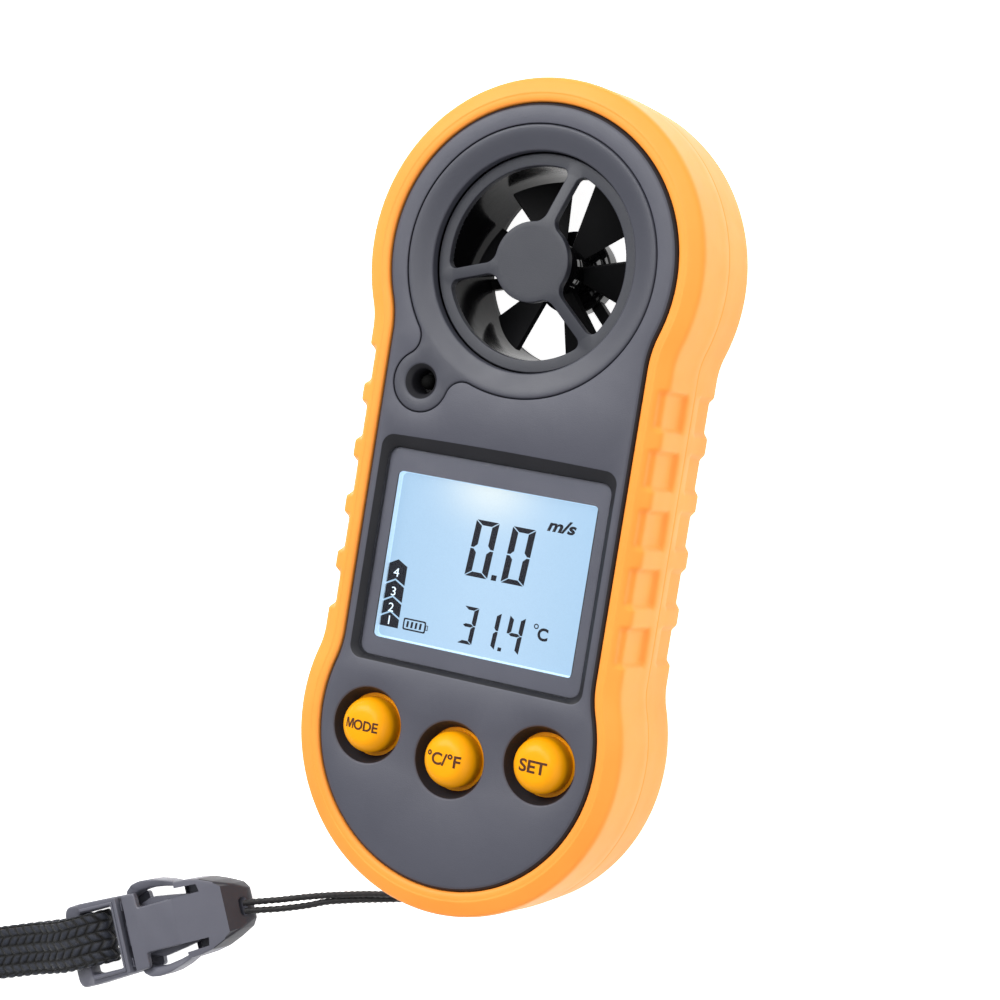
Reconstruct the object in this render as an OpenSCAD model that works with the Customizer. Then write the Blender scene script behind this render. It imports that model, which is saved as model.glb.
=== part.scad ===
// Handheld vane anemometer in a rubber boot, with a wrist strap on a release buckle.
// Millimetres. The meter lies on its back: X across, Y towards the vane head, Z out of the face.
// The origin is the middle of the footprint, on the surface that the meter rests on.

/* [Case outline] */
// Distance from the origin to the centre of the round vane head
head_y = 40.6; // [39:0.1:42]
// Distance from the origin to the centre of the round foot
foot_y = 41; // [40:0.1:42.5]
// Radius of the front panel round the vane head
head_r = 27; // [26:0.1:28]
// Radius of the front panel round the foot
foot_r = 26.6; // [26:0.1:28]
// Half the width of the front panel at the waist
waist_w = 24.4; // [24:0.1:25]
// Radius of the hollow curve that joins the waist to the head and the foot
neck_r = 18; // [14:0.5:22]
// Height of the front panel above the ground
face_z = 23; // [23:0.1:24]

/* [Case walls] */
// Height of the joint between the front and rear shells
joint_z = 12; // [11:0.5:12.5]
// How far the shells reach past the front panel, under the boot's lip
shoulder = 1.6; // [1.2:0.1:2]
// Thickness of the shells' side walls
wall = 2; // [1.6:0.1:2.2]
// Thickness of the front panel, with the depth of its recesses
panel_t = 3.1; // [3:0.1:3.2]
// Thickness of the boot's back edge
boot_back = 1.5; // [1.2:0.1:1.8]
// How far the boot reaches past the front panel at its widest
boot_grow = 4.7; // [4:0.1:5]
// Width of the boot's back edge, measured in from the front panel's outline
back_lip = 3; // [2:0.5:3.5]

/* [Side grips] */
// Number of grip recesses in each row
grip_count = 5; // [3:1:5]
// Distance from one recess to the next
grip_pitch = 9.9; // [9:0.1:10]
// Length of each recess at its mouth
grip_len = 6.6; // [5:0.1:7]

/* [Wind vane] */
// Inner radius of the air duct
duct_r = 16.6; // [16.2:0.1:17]
// Radius of the bezel round the duct
bezel_r = 23.3; // [22.8:0.1:23.6]
// Radius of the front hub
hub_r = 6.9; // [6.5:0.1:7.2]
// Radius of the impeller at its blade tips
impeller_r = 15.7; // [15:0.1:16]
// Number of blades on the impeller
blade_count = 6; // [4:1:8]
// Pitch of the blades
blade_pitch = 33; // [28:1:40]
// Turn of the first blade at rest
blade_turn = 55; // [0:1:60]
// Angle of the first spoke of the grilles
spoke_turn = 74; // [0:1:120]
// Radius of the impeller's shaft
shaft_r = 0.75; // [0.6:0.05:0.9]

/* [Display and buttons] */
// Half the width of the display's lens
lens_w = 21.4; // [20.5:0.1:21.6]
// Half the height of the display's lens
lens_h = 18.2; // [17:0.1:18.4]
// Middle of the lens along the case
lens_y = -12.4; // [-13:0.1:-12]
// Sideways distance of the outer buttons
button_x = 16.8; // [16:0.1:17.5]
// Distance of the outer buttons below the origin
button_y = -42.7; // [-43.5:0.1:-42]
// How much lower the middle button sits than the outer ones
button_drop = 2.6; // [0:0.1:3]
// Radius of the button domes
button_r = 4.85; // [4.6:0.05:5]
// Travel of a button
button_travel = 0.8; // [0.4:0.1:0.8]

/* [Power] */
// Diameter of a battery cell
cell_d = 10.5; // [10:0.1:10.5]
// Length of a battery cell with its contact
cell_len = 44.5; // [44:0.1:44.5]

/* [Lanyard] */
// Width of the wrist strap's webbing
strap_w = 10; // [8:0.5:10]
// Thickness of the webbing
strap_t = 1.5; // [1:0.1:1.6]
// Diameter of the thin string between case and buckle
string_d = 1.1; // [0.8:0.1:1.3]
// Height of the release buckle
buckle_h = 6.6; // [6:0.1:7]

/* [Hidden] */
$fn = 96;

// Small amounts
gap = 0.1;
over = 1;

// Colours
orange = [0.99, 0.62, 0.16];
panel_grey = [0.33, 0.33, 0.37];
gloss_black = [0.03, 0.03, 0.035];
board_green = [0.05, 0.30, 0.16];
steel = [0.72, 0.72, 0.74];
brass = [0.80, 0.62, 0.28];
satin_black = [0.10, 0.10, 0.11];

// Heights of the layers inside the case, counted from the ground
shell_back_z = boot_back;
floor_z = shell_back_z + 1.9;
shoulder_z = face_z - 2;
ceiling_z = face_z - panel_t;
cell_z = floor_z + cell_d / 2;
board_z = floor_z + cell_d + 0.5;
board_t = 1.6;
board_top = board_z + board_t;

// Edge profiles of the case pieces, each a list of [reach past the panel, height]
boot_profile = [
    [boot_grow - 2.9, 0], [boot_grow - 1.1, 0.5], [boot_grow - 0.3, 1.8], [boot_grow, joint_z - 0.5],
    [boot_grow - 0.25, face_z - 1.9], [boot_grow - 0.45, face_z - 1.5],
    [1.9, face_z - 0.35], [1.5, face_z - 0.3], [0, face_z - 0.8]
];
front_profile = [
    [shoulder, joint_z], [shoulder, shoulder_z], [0, shoulder_z], [0, face_z - 0.7],
    [-0.2, face_z - 0.35], [-0.5, face_z - 0.1], [-0.9, face_z]
];
rear_profile = [
    [shoulder - 1, shell_back_z], [shoulder, shell_back_z + 1], [shoulder, joint_z]
];

// Vane assembly
bezel_seat_z = face_z - 1.4;
grille_z = face_z - 2.7;
grille_ring_r = 18.7;
duct_joint_z = 12.5;
duct_wall_r = 19.4;
rear_hub_r = 7.2;
hub_top_z = face_z - 0.7;
impeller_z = 9.2;
impeller_hub_r = 4.2;
impeller_hub_z = 6.6;
impeller_hub_h = 6.6;
blade_half_width = 17;
blade_t = 0.8;
bearing_r = 1.7;
bearing_clear = 0.04;
spoke_w = 2;

// Temperature sensor hole
sensor_x = -17;
sensor_y = 17.7;
sensor_hole_r = 1.9;
sensor_tab_r = 5.3;

// Display
window_w = lens_w - 2;
window_h = lens_h - 3.6;
window_y = lens_y - 0.4;
lens_z = face_z - 1.7;
lens_t = 1;
lcd_t = 1.8;

// Buttons, as [x, y]
button_at = [
    [-button_x, button_y], [0, button_y - button_drop], [button_x, button_y]
];
button_base_z = ceiling_z - 1;
dome_rise = 2.6;
dome_top_z = face_z + 2;
dome_sphere_r = (button_r * button_r + dome_rise * dome_rise) / (2 * dome_rise);

// Fasteners, as [x, y] of the right-hand one of each pair
case_screw_at = [[15.8, 56.4], [19, 11], [15.5, -55]];
board_screw_at = [[10, 10], [9, -53.5]];
boss_r = 2.6;

// Battery bay
bay_w = 16.4;
bay_top = -0.7;
bay_bottom = -48.8;
bay_wall = 3;
cell_pitch = cell_d + 0.3;
plate_t = 0.3;
spring_len = 3;
spring_wire_r = 0.3;
cover_w = 18;
cover_top = 1;
cover_bottom = -51;
cover_t = 1.6;
cover_pivot_r = cover_t / 2;
cover_pivot_y = cover_top - cover_pivot_r;
cover_pivot_z = shell_back_z + gap + cover_pivot_r;
cover_pin_r = 0.5;

// Lanyard
notch_w = 14;
notch_h = 8;
pin_y = -68.2;
pin_z = 4.6;
pin_r = 1;
buckle_turn = -154.2;
buckle_nose = [-46.8, -84];
socket_len = 25.7;
frame_len = 41.3;

// Route of the string, one point a row, from the buckle's nose round the lanyard pin and back
string_route = [
    [-47.5, -84.1, 3.3], [-45.5, -83.4, 3.2], [-43, -82.65, 2.8], [-40.2, -81.8, 2.2],
    [-36, -80.4, 1.8], [-31.5, -79, 1.6], [-26, -77.45, 1.8], [-22, -76.4, 2.1], [-18.3, -75.5, 2.6],
    [-14.5, -74.3, 3.5], [-11, -73.2, 4.3], [-8, -72.5, 5], [-5.4, -71.8, 5.7], [-3, -70.8, 6.1],
    [-1, -69.5, 6.3], [-0.3, -68, 6.2], [0.2, -66.8, 5.4], [0.5, -66.5, 4.4], [0.5, -67, 3.4],
    [0, -68.2, 2.9], [-1.2, -69.8, 2.6], [-3.2, -71.4, 2.3], [-5.6, -72.7, 2], [-8.5, -73.8, 1.7],
    [-12, -74.9, 1.6], [-15.3, -75.75, 1.65], [-18.6, -76.6, 1.6], [-22, -77.5, 1.4],
    [-26, -78.6, 1.2], [-31.3, -80.2, 1.2], [-35, -81.75, 1.4], [-40, -83.5, 2],
    [-43, -84.35, 2.7], [-45.5, -85.05, 3.2], [-46.9, -85.5, 3.3]
];

// Routes of the wrist strap, as [x, y, z, tilt of its width from level]. First the middle of its
// two layers where they lie together, from the buckle to the fork
strap_pair = [
    [-90.5, -103.45, 1.75, 0], [-93, -104.3, 1.75, 0], [-96.5, -105.55, 1.75, 0],
    [-100, -106.8, 1.75, 0], [-100.6, -107, 1.75, 0], [-102.8, -107.8, 1.9, 2], [-105.3, -108.6, 2.7, 12],
    [-108.4, -109.5, 4.1, 30], [-111.6, -110.2, 5.1, 50], [-114.8, -110.6, 5.4, 70],
    [-117.8, -110.4, 5.2, 86], [-120.6, -109.6, 5.1, 90]
];
// Then round the buckle's outer bar, from the lower layer to the upper one
strap_bar = [
    [-88.4, -102.7, 0.9], [-85.4, -101.65, 0.95], [-82.3, -100.35, 0.95], [-79.5, -99.05, 0.95],
    [-77.4, -98, 1.1], [-76.3, -97.5, 1.75], [-75.9, -97.3, 2.9], [-76.2, -97.45, 4.1],
    [-77.3, -97.95, 5], [-79.1, -98.8, 5.5], [-81.3, -99.9, 5.75], [-83.4, -100.85, 5.65],
    [-85.1, -101.6, 5], [-86.9, -102.25, 3.95], [-88.6, -102.85, 3.1]
];
// And round the open loop, from the fork's inner branch to its outer one
strap_loop = [
    [-123.4, -107.3, 5.1], [-125.4, -104, 5.1], [-126.2, -99.5, 5.1], [-125.8, -88, 5.1],
    [-124.8, -70, 5.1], [-124.8, -50, 5.1], [-126.2, -34, 5.1], [-129.2, -25.6, 5.1],
    [-134.5, -21, 5.1], [-141, -21.2, 5.1], [-146.8, -26, 5.1], [-151, -36, 5.1],
    [-152.8, -52, 5.1], [-151, -70, 5.1], [-146, -85.4, 5.1], [-138.6, -97.2, 5.1],
    [-130.4, -105.6, 5.1], [-124.6, -109.4, 5.1]
];
strap_seam = 3;
strap_side = [cos(-66.5), sin(-66.5), 0];

// ---- Shared shapes ----

function neck_from(end_y, end_r) =
    end_y - sqrt(pow(end_r + neck_r, 2) - pow(waist_w + neck_r, 2));

// Half of the case's outline, from the waist to the round end, as a flat shape
module half_outline(end_y, end_r, grow) {
    neck = [waist_w + neck_r, neck_from(end_y, end_r)];
    translate([0, end_y]) circle(end_r + grow);
    translate([-waist_w - grow, -over]) square([2 * (waist_w + grow), end_y + over]);
    for (side = [-1, 1]) difference() {
        polygon([[0, end_y], [side * neck.x, neck.y], [0, neck.y]]);
        translate([side * neck.x, neck.y]) circle(neck_r - grow);
    }
}

// The case's outline, grown past the front panel
module outline(grow) {
    half_outline(head_y, head_r, grow);
    mirror([0, 1]) half_outline(foot_y, foot_r, grow);
}

// Half of a solid whose edge follows a profile all the way round the outline
module half_body(end_y, end_r, profile) {
    low = profile[0][1];
    high = profile[len(profile) - 1][1];
    neck = [waist_w + neck_r, neck_from(end_y, end_r)];
    translate([0, end_y, 0]) rotate_extrude()
        polygon(concat([[0, low]], [for (p = profile) [end_r + p[0], p[1]]], [[0, high]]));
    translate([0, end_y, 0]) rotate([90, 0, 0]) linear_extrude(end_y + over)
        polygon(concat(
            [for (p = profile) [waist_w + p[0], p[1]]],
            [for (i = [len(profile) - 1:-1:0]) [-waist_w - profile[i][0], profile[i][1]]]));
    for (side = [-1, 1]) difference() {
        translate([0, 0, low]) linear_extrude(high - low)
            polygon([[0, end_y], [side * neck.x, neck.y], [0, neck.y]]);
        translate([side * neck.x, neck.y, 0]) rotate_extrude()
            polygon(concat(
                [[0, low - over], [neck_r - profile[0][0], low - over]],
                [for (p = profile) [neck_r - p[0], p[1]]],
                [[neck_r - profile[len(profile) - 1][0], high + over], [0, high + over]]));
    }
}

module case_body(profile) {
    half_body(head_y, head_r, profile);
    mirror([0, 1, 0]) half_body(foot_y, foot_r, profile);
}

// A straight-sided layer of the case's outline between two heights
module layer(grow, low, high) {
    translate([0, 0, low]) linear_extrude(high - low) outline(grow);
}

module ring(inner, outer, low, high) {
    translate([0, head_y, low]) difference() {
        cylinder(r = outer, h = high - low);
        translate([0, 0, -over]) cylinder(r = inner, h = high - low + 2 * over);
    }
}

module block(low, high) {
    translate(low) cube(high - low);
}

// A flat rectangle with round corners, centred
module soft_rectangle(w, h, r) {
    square([2 * w, 2 * (h - r)], center = true);
    square([2 * (w - r), 2 * h], center = true);
    for (x = [-1, 1], y = [-1, 1]) translate([x * (w - r), y * (h - r)]) circle(r, $fn = 32);
}

module both_sides(points) {
    for (p = points, side = [-1, 1]) translate([side * p.x, p.y, 0]) children();
}

// The bezel's plan: a disc with a tab round the temperature sensor's hole
module bezel_plan(grow) {
    blend = 3.4;
    from_head = [sensor_x, sensor_y - head_y];
    apart = norm(from_head);
    disc = bezel_r + blend;
    tab = sensor_tab_r + blend;
    along = (disc * disc - tab * tab + apart * apart) / (2 * apart);
    off = sqrt(disc * disc - along * along);
    heading = atan2(from_head.y, from_head.x);
    translate([0, head_y]) rotate(heading) {
        circle(bezel_r + grow);
        translate([apart, 0]) circle(sensor_tab_r + grow);
        for (side = [-1, 1]) difference() {
            polygon([[0, 0], [along, side * off], [apart, 0]]);
            translate([along, side * off]) circle(blend - grow);
        }
    }
}

// A tube with flat-sided rings, one on each point of a route
function ahead(route, i) = let (
    a = route[max(i - 1, 0)],
    b = route[min(i + 1, len(route) - 1)],
    d = [b.x - a.x, b.y - a.y, b.z - a.z]
) d / norm(d);

function quad(a, b, c, d, other_way) = other_way ? [[a, b, d], [b, c, d]] : [[a, b, c], [a, c, d]];

// From the ring numbered turn_at onwards, the sides are split along their other diagonal, so that
// two layers that lie together split alike
module swept(rings, turn_at) {
    sides = len(rings[0]);
    last = len(rings) - 1;
    faces = concat(
        [[for (k = [0:sides - 1]) k]],
        [for (i = [0:last - 1], k = [0:sides - 1]) let (n = (k + 1) % sides)
            for (face = quad(
                i * sides + n, i * sides + k, (i + 1) * sides + k, (i + 1) * sides + n, i >= turn_at
            )) face],
        [[for (k = [sides - 1:-1:0]) last * sides + k]]);
    polyhedron([for (r = rings, p = r) p], faces);
}

// ---- Case ----

// One grip recess, cut into the boot's right-hand front edge
module grip_cut() {
    reach = waist_w + boot_grow;
    intersection() {
        translate([0, grip_len, 0]) rotate([90, 0, 0]) linear_extrude(2 * grip_len)
            polygon([
                [reach - 2, face_z + over], [reach - 1.9, face_z - 1.6], [reach - 1.1, face_z - 2.3],
                [reach - 1, face_z - 8.2], [reach + over, face_z - 9.4], [reach + over, face_z + over]
            ]);
        linear_extrude(face_z + over)
            polygon([
                [reach - 3, -grip_len / 2 + 0.9], [reach - 1, -grip_len / 2 + 0.6],
                [reach + over, -grip_len / 2 - 0.6], [reach + over, grip_len / 2 + 0.6],
                [reach - 1, grip_len / 2 - 0.6], [reach - 3, grip_len / 2 - 0.9]
            ]);
    }
}

module grip_rows() {
    first = -0.6 + grip_pitch * (grip_count - 1) / 2;
    for (i = [0:grip_count - 1], side = [0, 1]) mirror([side, 0, 0])
        translate([0, first - i * grip_pitch, 0]) {
            grip_cut();
            translate([0, 0, face_z - 0.3]) mirror([0, 0, 1]) grip_cut();
        }
}

// Opening in the boot and the rear shell that shows the lanyard pin
module lanyard_notch(width) {
    block([-width / 2, -foot_y - foot_r - 2 * boot_grow, -over], [width / 2, pin_y + 4.2, notch_h]);
}

module rubber_boot() color(orange) difference() {
    case_body(boot_profile);
    layer(shoulder + gap, boot_back, shoulder_z);
    layer(gap, shoulder_z - gap, face_z + over);
    layer(-back_lip, -over, boot_back + gap);
    grip_rows();
    lanyard_notch(notch_w);
    lanyard_pin_shape(pin_r + 0.05);
}

module screw_bosses(low, high, hole_r) {
    both_sides(case_screw_at) difference() {
        translate([0, 0, low]) cylinder(r = boss_r, h = high - low);
        translate([0, 0, low - over]) cylinder(r = hole_r, h = high - low + 2 * over);
    }
}

// The sloping edge of the recess round the lens
module lens_bevel() {
    low = face_z - 1;
    high = face_z + gap;
    intersection() {
        translate([0, lens_y + 2 * lens_h, 0]) rotate([90, 0, 0]) linear_extrude(4 * lens_h)
            polygon([
                [-lens_w - gap, low], [lens_w + gap, low], [lens_w + 1.2, high], [-lens_w - 1.2, high]
            ]);
        translate([-2 * lens_w, lens_y, 0]) rotate([90, 0, 90]) linear_extrude(4 * lens_w)
            polygon([
                [-lens_h - gap, low], [lens_h + gap, low], [lens_h + 2.1, high], [-lens_h - 0.9, high]
            ]);
    }
}

module front_panel_cuts() {
    translate([0, 0, bezel_seat_z]) linear_extrude(3) bezel_plan(0.15);
    translate([0, head_y, 0]) cylinder(r = 20.5, h = face_z + over);
    translate([sensor_x, sensor_y, joint_z]) cylinder(r = 3, h = face_z);
    translate([0, lens_y, lens_z]) linear_extrude(3) soft_rectangle(lens_w + gap, lens_h + gap, 2.1);
    translate([0, window_y, joint_z]) linear_extrude(face_z)
        soft_rectangle(window_w + 0.5, window_h + 0.5, 1.5);
    lens_bevel();
    for (p = button_at) translate([p.x, p.y, 0]) {
        cylinder(r = button_r + 0.65, h = face_z + over);
        translate([0, 0, face_z - 2.6]) cylinder(r1 = button_r + 0.75, r2 = button_r + 1.65, h = 2.2);
        translate([0, 0, face_z - 0.41]) cylinder(r1 = button_r + 1.65, r2 = button_r + 2.05, h = 0.42);
    }
}

module front_shell() color(panel_grey) {
    difference() {
        case_body(front_profile);
        layer(shoulder - wall, joint_z - over, ceiling_z - 1);
        layer(shoulder - wall - 1.4, ceiling_z - 2, ceiling_z);
        front_panel_cuts();
    }
    ring(19.1, 21.2, duct_joint_z, ceiling_z + gap);
    screw_bosses(joint_z, ceiling_z, 1.05);
    both_sides(board_screw_at) difference() {
        translate([0, 0, board_top]) cylinder(r = 2.2, h = ceiling_z - board_top);
        translate([0, 0, board_top - over]) cylinder(r = 0.85, h = 4);
    }
}

module battery_bay() {
    difference() {
        block(
            [-bay_w - bay_wall, bay_bottom - bay_wall, floor_z - gap],
            [bay_w + bay_wall, bay_top + bay_wall, joint_z]);
        block([-bay_w, bay_bottom, 0], [bay_w, bay_top, joint_z + over]);
    }
}

module rear_shell() color(gloss_black) {
    difference() {
        union() {
            difference() {
                case_body(rear_profile);
                layer(shoulder - wall, floor_z, joint_z + over);
                block(
                    [-cover_w - 0.3, cover_bottom - 0.3, 0],
                    [cover_w + 0.3, cover_top + 0.3, floor_z + over]);
            }
            battery_bay();
            ring(19.5, 21, floor_z - gap, joint_z);
            both_sides(case_screw_at) translate([0, 0, floor_z - gap])
                cylinder(r = boss_r, h = joint_z - floor_z + gap);
            intersection() {
                layer(shoulder - 1, floor_z - gap, notch_h + 1.5);
                block(
                    [-notch_w / 2 - 1.5, -2 * foot_y, floor_z - gap],
                    [notch_w / 2 + 1.5, pin_y + 5.7, notch_h + 1.5]);
            }
        }
        translate([0, head_y, 0]) cylinder(r = 19.5, h = joint_z + over);
        lanyard_notch(notch_w);
        lanyard_pin_shape(pin_r + 0.05);
        translate([-cover_w - 1.1, cover_pivot_y, cover_pivot_z]) rotate([0, 90, 0])
            cylinder(r = cover_pin_r + 0.06, h = 2 * cover_w + 2.2);
        both_sides(case_screw_at) {
            cylinder(r = 1.3, h = joint_z + over);
            translate([0, 0, shell_back_z - gap]) cylinder(r1 = 2.6, r2 = 1.3, h = 1.6);
        }
    }
}

// ---- Wind vane ----

module vane_bezel() color(panel_grey) difference() {
    union() {
        translate([0, 0, bezel_seat_z]) linear_extrude(face_z - bezel_seat_z) bezel_plan(0);
        ring(19, 20.4, ceiling_z + 2 * gap, bezel_seat_z + gap);
    }
    translate([0, head_y, 0]) cylinder(r = 19, h = face_z + over);
    translate([0, head_y, 0]) rotate_extrude()
        polygon([
            [18, face_z - 1.3], [19, face_z - 1.25], [19.5, face_z - 1], [21, face_z - 0.45],
            [22.4, face_z - 0.12], [22.9, face_z + gap], [18, face_z + gap]
        ]);
    translate([sensor_x, sensor_y, 0]) {
        cylinder(r = sensor_hole_r, h = face_z + over);
        translate([0, 0, face_z - 0.9]) cylinder(r1 = sensor_hole_r, r2 = 3.3, h = 0.91);
    }
}

// Three spokes between a hub and a ring, sloping down to the ring
module spokes(hub_z, ring_z, reach, width, depth) {
    run = reach - hub_r + 2;
    slope = atan2(hub_z - ring_z, run);
    for (i = [0:2]) translate([0, head_y, 0]) rotate(spoke_turn + 120 * i)
        translate([hub_r - 2, -width / 2, hub_z - depth]) rotate([0, slope, 0])
            cube([run / cos(slope), width, depth]);
}

module front_grille() color(panel_grey) difference() {
    union() {
        ring(duct_r, grille_ring_r, grille_z - 1.3, grille_z);
        spokes(hub_top_z, grille_z, duct_r + 0.8, spoke_w, 1.25);
        translate([0, head_y, hub_top_z - 1.8]) cylinder(r = hub_r, h = 1.8);
        translate([0, head_y, hub_top_z - 4.6]) cylinder(r1 = 4.6, r2 = 5.4, h = 3.2);
    }
    translate([0, head_y, hub_top_z - 5.6]) cylinder(r = bearing_r, h = 3.6);
}

module duct_front() color(gloss_black)
    ring(duct_r, 18.9, duct_joint_z, grille_z - 1.3);

module duct_rear() color(gloss_black) difference() {
    ring(duct_r, duct_wall_r, shell_back_z + gap, duct_joint_z);
    translate([0, head_y, -over]) cylinder(r = 17.9, h = 4.2 + over);
}

module rear_grille() color(gloss_black) {
    ring(duct_r, 17.8, 3, 4.2);
    difference() {
        union() {
            for (i = [0:2]) translate([0, head_y, 0]) rotate(spoke_turn + 120 * i)
                translate([rear_hub_r - 1, -spoke_w / 2, 2.6])
                    cube([duct_r - rear_hub_r + 1.6, spoke_w, 1.6]);
            translate([0, head_y, 2.2]) cylinder(r = rear_hub_r, h = 3.2);
        }
        translate([0, head_y, 3.6]) cylinder(r = bearing_r, h = 3);
        translate([-3.2, head_y - 6, 2]) cube([2.4, 3.4, 2.2]);
    }
}

// A flat blade that covers twice blade_half_width degrees when seen along the shaft
module blade() {
    slope = tan(blade_half_width) / cos(blade_pitch);
    root = impeller_hub_r - 1;
    tip = impeller_r + 1;
    rotate([blade_pitch, 0, 0]) translate([0, 0, -blade_t / 2]) linear_extrude(blade_t)
        polygon([[root, -root * slope], [tip, -tip * slope], [tip, tip * slope], [root, root * slope]]);
}

module impeller() color(gloss_black) translate([0, head_y, 0]) difference() {
    union() {
        translate([0, 0, impeller_hub_z]) cylinder(r = impeller_hub_r, h = impeller_hub_h);
        intersection() {
            for (i = [0:blade_count - 1]) translate([0, 0, impeller_z])
                rotate(blade_turn + 360 / blade_count * i) blade();
            cylinder(r = impeller_r, h = face_z);
        }
    }
    translate([0, 0, impeller_hub_z - over]) cylinder(r = shaft_r, h = impeller_hub_h + 2 * over);
    translate([0, 0, impeller_hub_z - over]) cylinder(r = 2.6, h = 1.5 + over);
}

module impeller_shaft() color(steel)
    translate([0, head_y, 4.2]) cylinder(r = shaft_r, h = 15.4);

module bearing(low) {
    color(brass) translate([0, head_y, low]) difference() {
        cylinder(r = bearing_r, h = 1.8);
        translate([0, 0, -over]) cylinder(r = shaft_r + bearing_clear, h = 4);
    }
}

module front_bearing() bearing(hub_top_z - 4.6);

module rear_bearing() bearing(3.6);

module impeller_magnet() color(steel) translate([0, head_y, impeller_hub_z]) difference() {
    cylinder(r = 2.6, h = 1.5);
    translate([0, 0, -over]) cylinder(r = shaft_r, h = 4);
}

module pickup_sensor() color(satin_black)
    translate([-3.1, head_y - 5.9, 2.2]) cube([2.2, 3.2, 1.8]);

module thermistor() color(satin_black) {
    translate([sensor_x, sensor_y, face_z - 6.4]) cylinder(r = 1.3, h = 3.4);
    translate([sensor_x, sensor_y, face_z - 3]) sphere(r = 1.3, $fn = 32);
    for (side = [-1, 1]) translate([sensor_x + side * 0.5, sensor_y, board_top])
        cylinder(r = 0.2, h = face_z - 6.4 - board_top, $fn = 16);
}

// ---- Display ----

module display_lens() color([0.75, 0.85, 0.92, 0.4])
    translate([0, lens_y, lens_z]) linear_extrude(lens_t) soft_rectangle(lens_w, lens_h, 2);

module lens_gasket() color(satin_black) translate([0, 0, ceiling_z]) difference() {
    translate([0, window_y, -0.3]) linear_extrude(0.3)
        soft_rectangle(window_w + 1.4, window_h + 1.4, 1.5);
    translate([0, window_y, -over]) linear_extrude(3) soft_rectangle(window_w + 0.3, window_h + 0.3, 1);
}

module lcd_glass() color([0.70, 0.85, 0.96])
    block(
        [-window_w - 1.2, window_y - window_h - 1.4, ceiling_z - 0.3 - lcd_t],
        [window_w + 1.2, window_y + window_h + 1.4, ceiling_z - 0.3]);

module lcd_backlight() color("white")
    block(
        [-window_w, window_y - window_h + 1.4, board_top],
        [window_w, window_y + window_h + 0.6, ceiling_z - 0.3 - lcd_t]);

module lcd_frame() color(satin_black) difference() {
    block(
        [-window_w - 2.2, window_y - window_h - 2.4, board_top],
        [window_w + 2.2, window_y + window_h + 2.4, ceiling_z - 0.5]);
    block(
        [-window_w - 1.2, window_y - window_h - 1.4, board_top - over],
        [window_w + 1.2, window_y + window_h + 1.4, ceiling_z]);
}

module zebra_strip() color("pink")
    block(
        [-window_w, window_y - window_h - 1.2, board_top],
        [window_w, window_y - window_h + 1.2, ceiling_z - 0.3 - lcd_t]);

// ---- Buttons ----

module button(at) {
    color(orange) translate([at.x, at.y, 0]) {
        intersection() {
            translate([0, 0, button_base_z]) cylinder(r = button_r, h = 9);
            translate([0, 0, dome_top_z - dome_sphere_r]) sphere(r = dome_sphere_r);
        }
        translate([0, 0, button_base_z]) cylinder(r = button_r + 1.4, h = 0.9);
    }
}

module button_left() button(button_at[0]);

module button_middle() button(button_at[1]);

module button_right() button(button_at[2]);

module tact_switch(at) {
    color(satin_black) translate([at.x - 2.2, at.y - 2.2, board_top]) cube([4.4, 4.4, 1.4]);
    color(steel) translate([at.x, at.y, board_top + 1.4]) cylinder(r = 1.1, h = 0.6);
}

module switch_left() tact_switch(button_at[0]);

module switch_middle() tact_switch(button_at[1]);

module switch_right() tact_switch(button_at[2]);

// ---- Electronics ----

module main_board() color(board_green) difference() {
    intersection() {
        union() {
            translate([0, -foot_y, board_z]) cylinder(r = foot_r - 2.2, h = board_t);
            block([1 - waist_w, -foot_y, board_z], [waist_w - 1, 20.5, board_top]);
        }
        block([3.4 - waist_w, -62, board_z - over], [waist_w - 3.4, 20.5 + over, board_top + over]);
    }
    both_sides(case_screw_at) translate([0, 0, board_z - over]) cylinder(r = boss_r + 0.4, h = 4);
    both_sides(board_screw_at) translate([0, 0, board_z - over]) cylinder(r = 1.1, h = 4);
    translate([0, head_y, board_z - over]) cylinder(r = 21.5, h = 4);
}

// Parts on the back of the board, between the vane duct and the battery bay
module display_driver() color(satin_black)
    block([-4, 3.4, board_z - 1.4], [4, 11.4, board_z]);

module crystal() color(steel)
    block([6, 2.6, board_z - 1.6], [7.6, 8, board_z]);

module capacitors() color(brass)
    for (x = [-15, -12, -9], y = [4, 7]) block([x, y, board_z - 0.9], [x + 1.6, y + 0.9, board_z]);

module buzzer() color(satin_black)
    translate([0, -57.2, board_z - 3]) cylinder(r = 3.6, h = 3);

// ---- Power ----

// Middle of a cell along the case: the middle cell faces the other way
function cell_middle(place) = place == 0
    ? bay_top - plate_t - cell_len / 2
    : bay_bottom + plate_t + cell_len / 2;

module battery_cell(place) {
    translate([place * cell_pitch, cell_middle(place), cell_z]) rotate([90, 0, place == 0 ? 180 : 0]) {
        color(brass) translate([0, 0, -cell_len / 2]) cylinder(r = cell_d / 2, h = cell_len - 0.8);
        color(steel) translate([0, 0, cell_len / 2 - 0.8]) cylinder(r = 1.9, h = 0.8);
    }
}

module battery_cell_left() battery_cell(-1);

module battery_cell_middle() battery_cell(0);

module battery_cell_right() battery_cell(1);

// One cone of stacked wire turns for each cell
module contact_springs() color(steel) for (place = [-1, 0, 1])
    translate([place * cell_pitch, cell_middle(place), cell_z]) rotate([place == 0 ? 90 : -90, 0, 0])
        for (i = [0:2]) translate([0, 0, cell_len / 2 + spring_wire_r + 1.2 * i])
            rotate_extrude($fn = 24) translate([2 + 0.7 * i, 0]) circle(spring_wire_r, $fn = 16);

module contact_plates() color(steel) for (place = [-1, 0, 1], end = [bay_top - plate_t, bay_bottom])
    translate([place * cell_pitch - 4.6, end, cell_z - 4]) cube([9.2, plate_t, 8]);

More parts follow.
